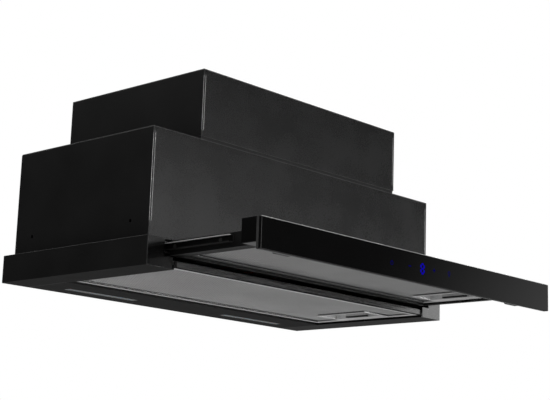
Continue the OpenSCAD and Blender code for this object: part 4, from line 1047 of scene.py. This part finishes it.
def head_end(places):
    low = Vector([min(place[axis] for place in places) for axis in range(3)])
    high = Vector([max(place[axis] for place in places) for axis in range(3)])
    size = high - low
    axis = max(range(3), key=lambda a: min(abs(size[a] - size[b]) for b in range(3) if b != a))
    middle = (low + high) / 2
    spread = {end: max((place - middle).length for place in places if abs(place[axis] - end) < 0.1 * MM)
              for end in (low[axis], high[axis])}
    end = max(spread, key=spread.get)
    centre = middle.copy()
    centre[axis] = end
    outward = Vector([0, 0, 0])
    outward[axis] = 1 if end > middle[axis] else -1
    return centre, outward


screws = merged_copy("body_screws", "body_screws_crossed", flatten=False)
pattern = cross_cutter("cross_cutter")
cutters = []
for number, places in enumerate(loose_heads("body_screws")):
    centre, outward = head_end(places)
    cutter = twin(pattern, f"cutter_{number}")
    cutter.matrix_world = Matrix.Translation(centre) @ outward.to_track_quat("Z", "Y").to_matrix().to_4x4()
    settle(cutter)
    cutters.append(cutter)
bpy.data.objects.remove(pattern)
cutter = join("cross_cutters", cutters)
pick(screws)
cut = screws.modifiers.new("recesses", "BOOLEAN")
cut.operation = "DIFFERENCE"
cut.solver = "EXACT"
cut.object = cutter
bpy.ops.object.modifier_apply(modifier=cut.name)
bpy.data.objects.remove(cutter)
soften(screws, 0.08, 1, 50)
wear(screws, bright_steel)
declare(screws, "body_screws")
print("screws with a cross recess:", len(cutters), "triangles", triangles(screws))

# %% [markdown]
# ## The glass
# The front is a strip of dark glass with polished, slightly rounded edges; the top one is painted pale, a
# painted highlight that draws it as a thin line. Blue symbols shine through it: a power ring, a minus, a
# digit, a plus and a lamp. Each is a set of thin bars and rings laid in the glass's front face.
# The face is pulled back by a hair first, so that the symbols stay inside the CAD model's box.

# %% Glass
GLASS_INSET = 0.08
glass = merged_copy("glass_panel", "glass_panel_polished")
edit(glass)
select_faces(glass, lambda c, n: n.y < -0.9)
bpy.ops.transform.translate(value=(0, GLASS_INSET * MM, 0))
done()
soften(glass, 0.6, 3)
wear(glass, glass_black, painted_highlight)
# painted highlight: the top front bevel wears the pale finish
paint_faces(glass, 1, lambda c, n: n.z > 0.2 and n.y < -0.2)
declare(glass, "glass_panel")
print(glass.name, "triangles", triangles(glass))

# %% [markdown]
# A bar of a symbol is a flattened cube and a ring is a thin torus pressed flat. The digit's seven
# bars glow a deep blue, and the keys, which are joined apart from them, glow far less.

# %% Symbols
SYMBOL_BLUE = (0.006, 0.0, 1.0)
LIFT = 0.03
digit_blue, key_blue = [
    finish_of(name, (0, 0, 0.02), (0, 0, 0.03), 0.5, 0.6, 900, 0.05, 0.01, Specular_IOR_Level=0.0,
              Emission_Color=(*SYMBOL_BLUE, 1), Emission_Strength=strength)
    for name, strength in (("digit_blue", 0.42), ("key_blue", 0.07))]
face_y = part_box("glass_panel")[0].y + GLASS_INSET * MM


def bar(x, z, width, height):
    bpy.ops.object.select_all(action="DESELECT")
    bpy.ops.mesh.primitive_cube_add(size=1, location=(x * MM, face_y, z * MM))
    made = bpy.context.object
    made.scale = (width * MM, 2 * LIFT * MM, height * MM)
    settle(made)
    return made


def ring(x, z, radius, stroke):
    bpy.ops.object.select_all(action="DESELECT")
    bpy.ops.mesh.primitive_torus_add(location=(x * MM, face_y, z * MM), rotation=(math.radians(90), 0, 0),
                                     major_radius=radius * MM, minor_radius=stroke / 2 * MM,
                                     major_segments=32, minor_segments=8)
    made = bpy.context.object
    made.scale = (1, 1, 2 * LIFT / stroke)
    settle(made)
    return made


keys = [ring(-61.6, -17.8, 2.4, 0.7), bar(-61.6, -15.6, 0.7, 2.6),
        bar(-24.9, -16.6, 5.2, 1.4),
        bar(26.4, -15.2, 5.2, 1.2), bar(26.4, -15.2, 1.2, 5.2),
        ring(59, -14.6, 2.3, 0.8), bar(59, -18.0, 2.2, 0.8), bar(59, -19.2, 1.4, 0.6)]
DIGIT_X, DIGIT_Z, DIGIT_W, DIGIT_H, DIGIT_BAR = 1.6, -16.6, 6.6, 12.0, 2.4
digit = []
for side in (-1, 1):
    for level in (-1, 1):
        digit.append(bar(DIGIT_X + side * DIGIT_W / 2, DIGIT_Z + level * DIGIT_H / 4, DIGIT_BAR,
                         DIGIT_H / 2 - DIGIT_BAR))
for level in (-1, 0, 1):
    digit.append(bar(DIGIT_X, DIGIT_Z + level * DIGIT_H / 2, DIGIT_W - DIGIT_BAR, DIGIT_BAR))
for name, parts, material in (("key_symbols", keys, key_blue), ("digit_symbol", digit, digit_blue)):
    symbols = join(name, parts)
    soften(symbols, 0)
    wear(symbols, material)
    declare(symbols, "glass_panel", replace=False)
    print(name, len(symbols.data.polygons), "faces")
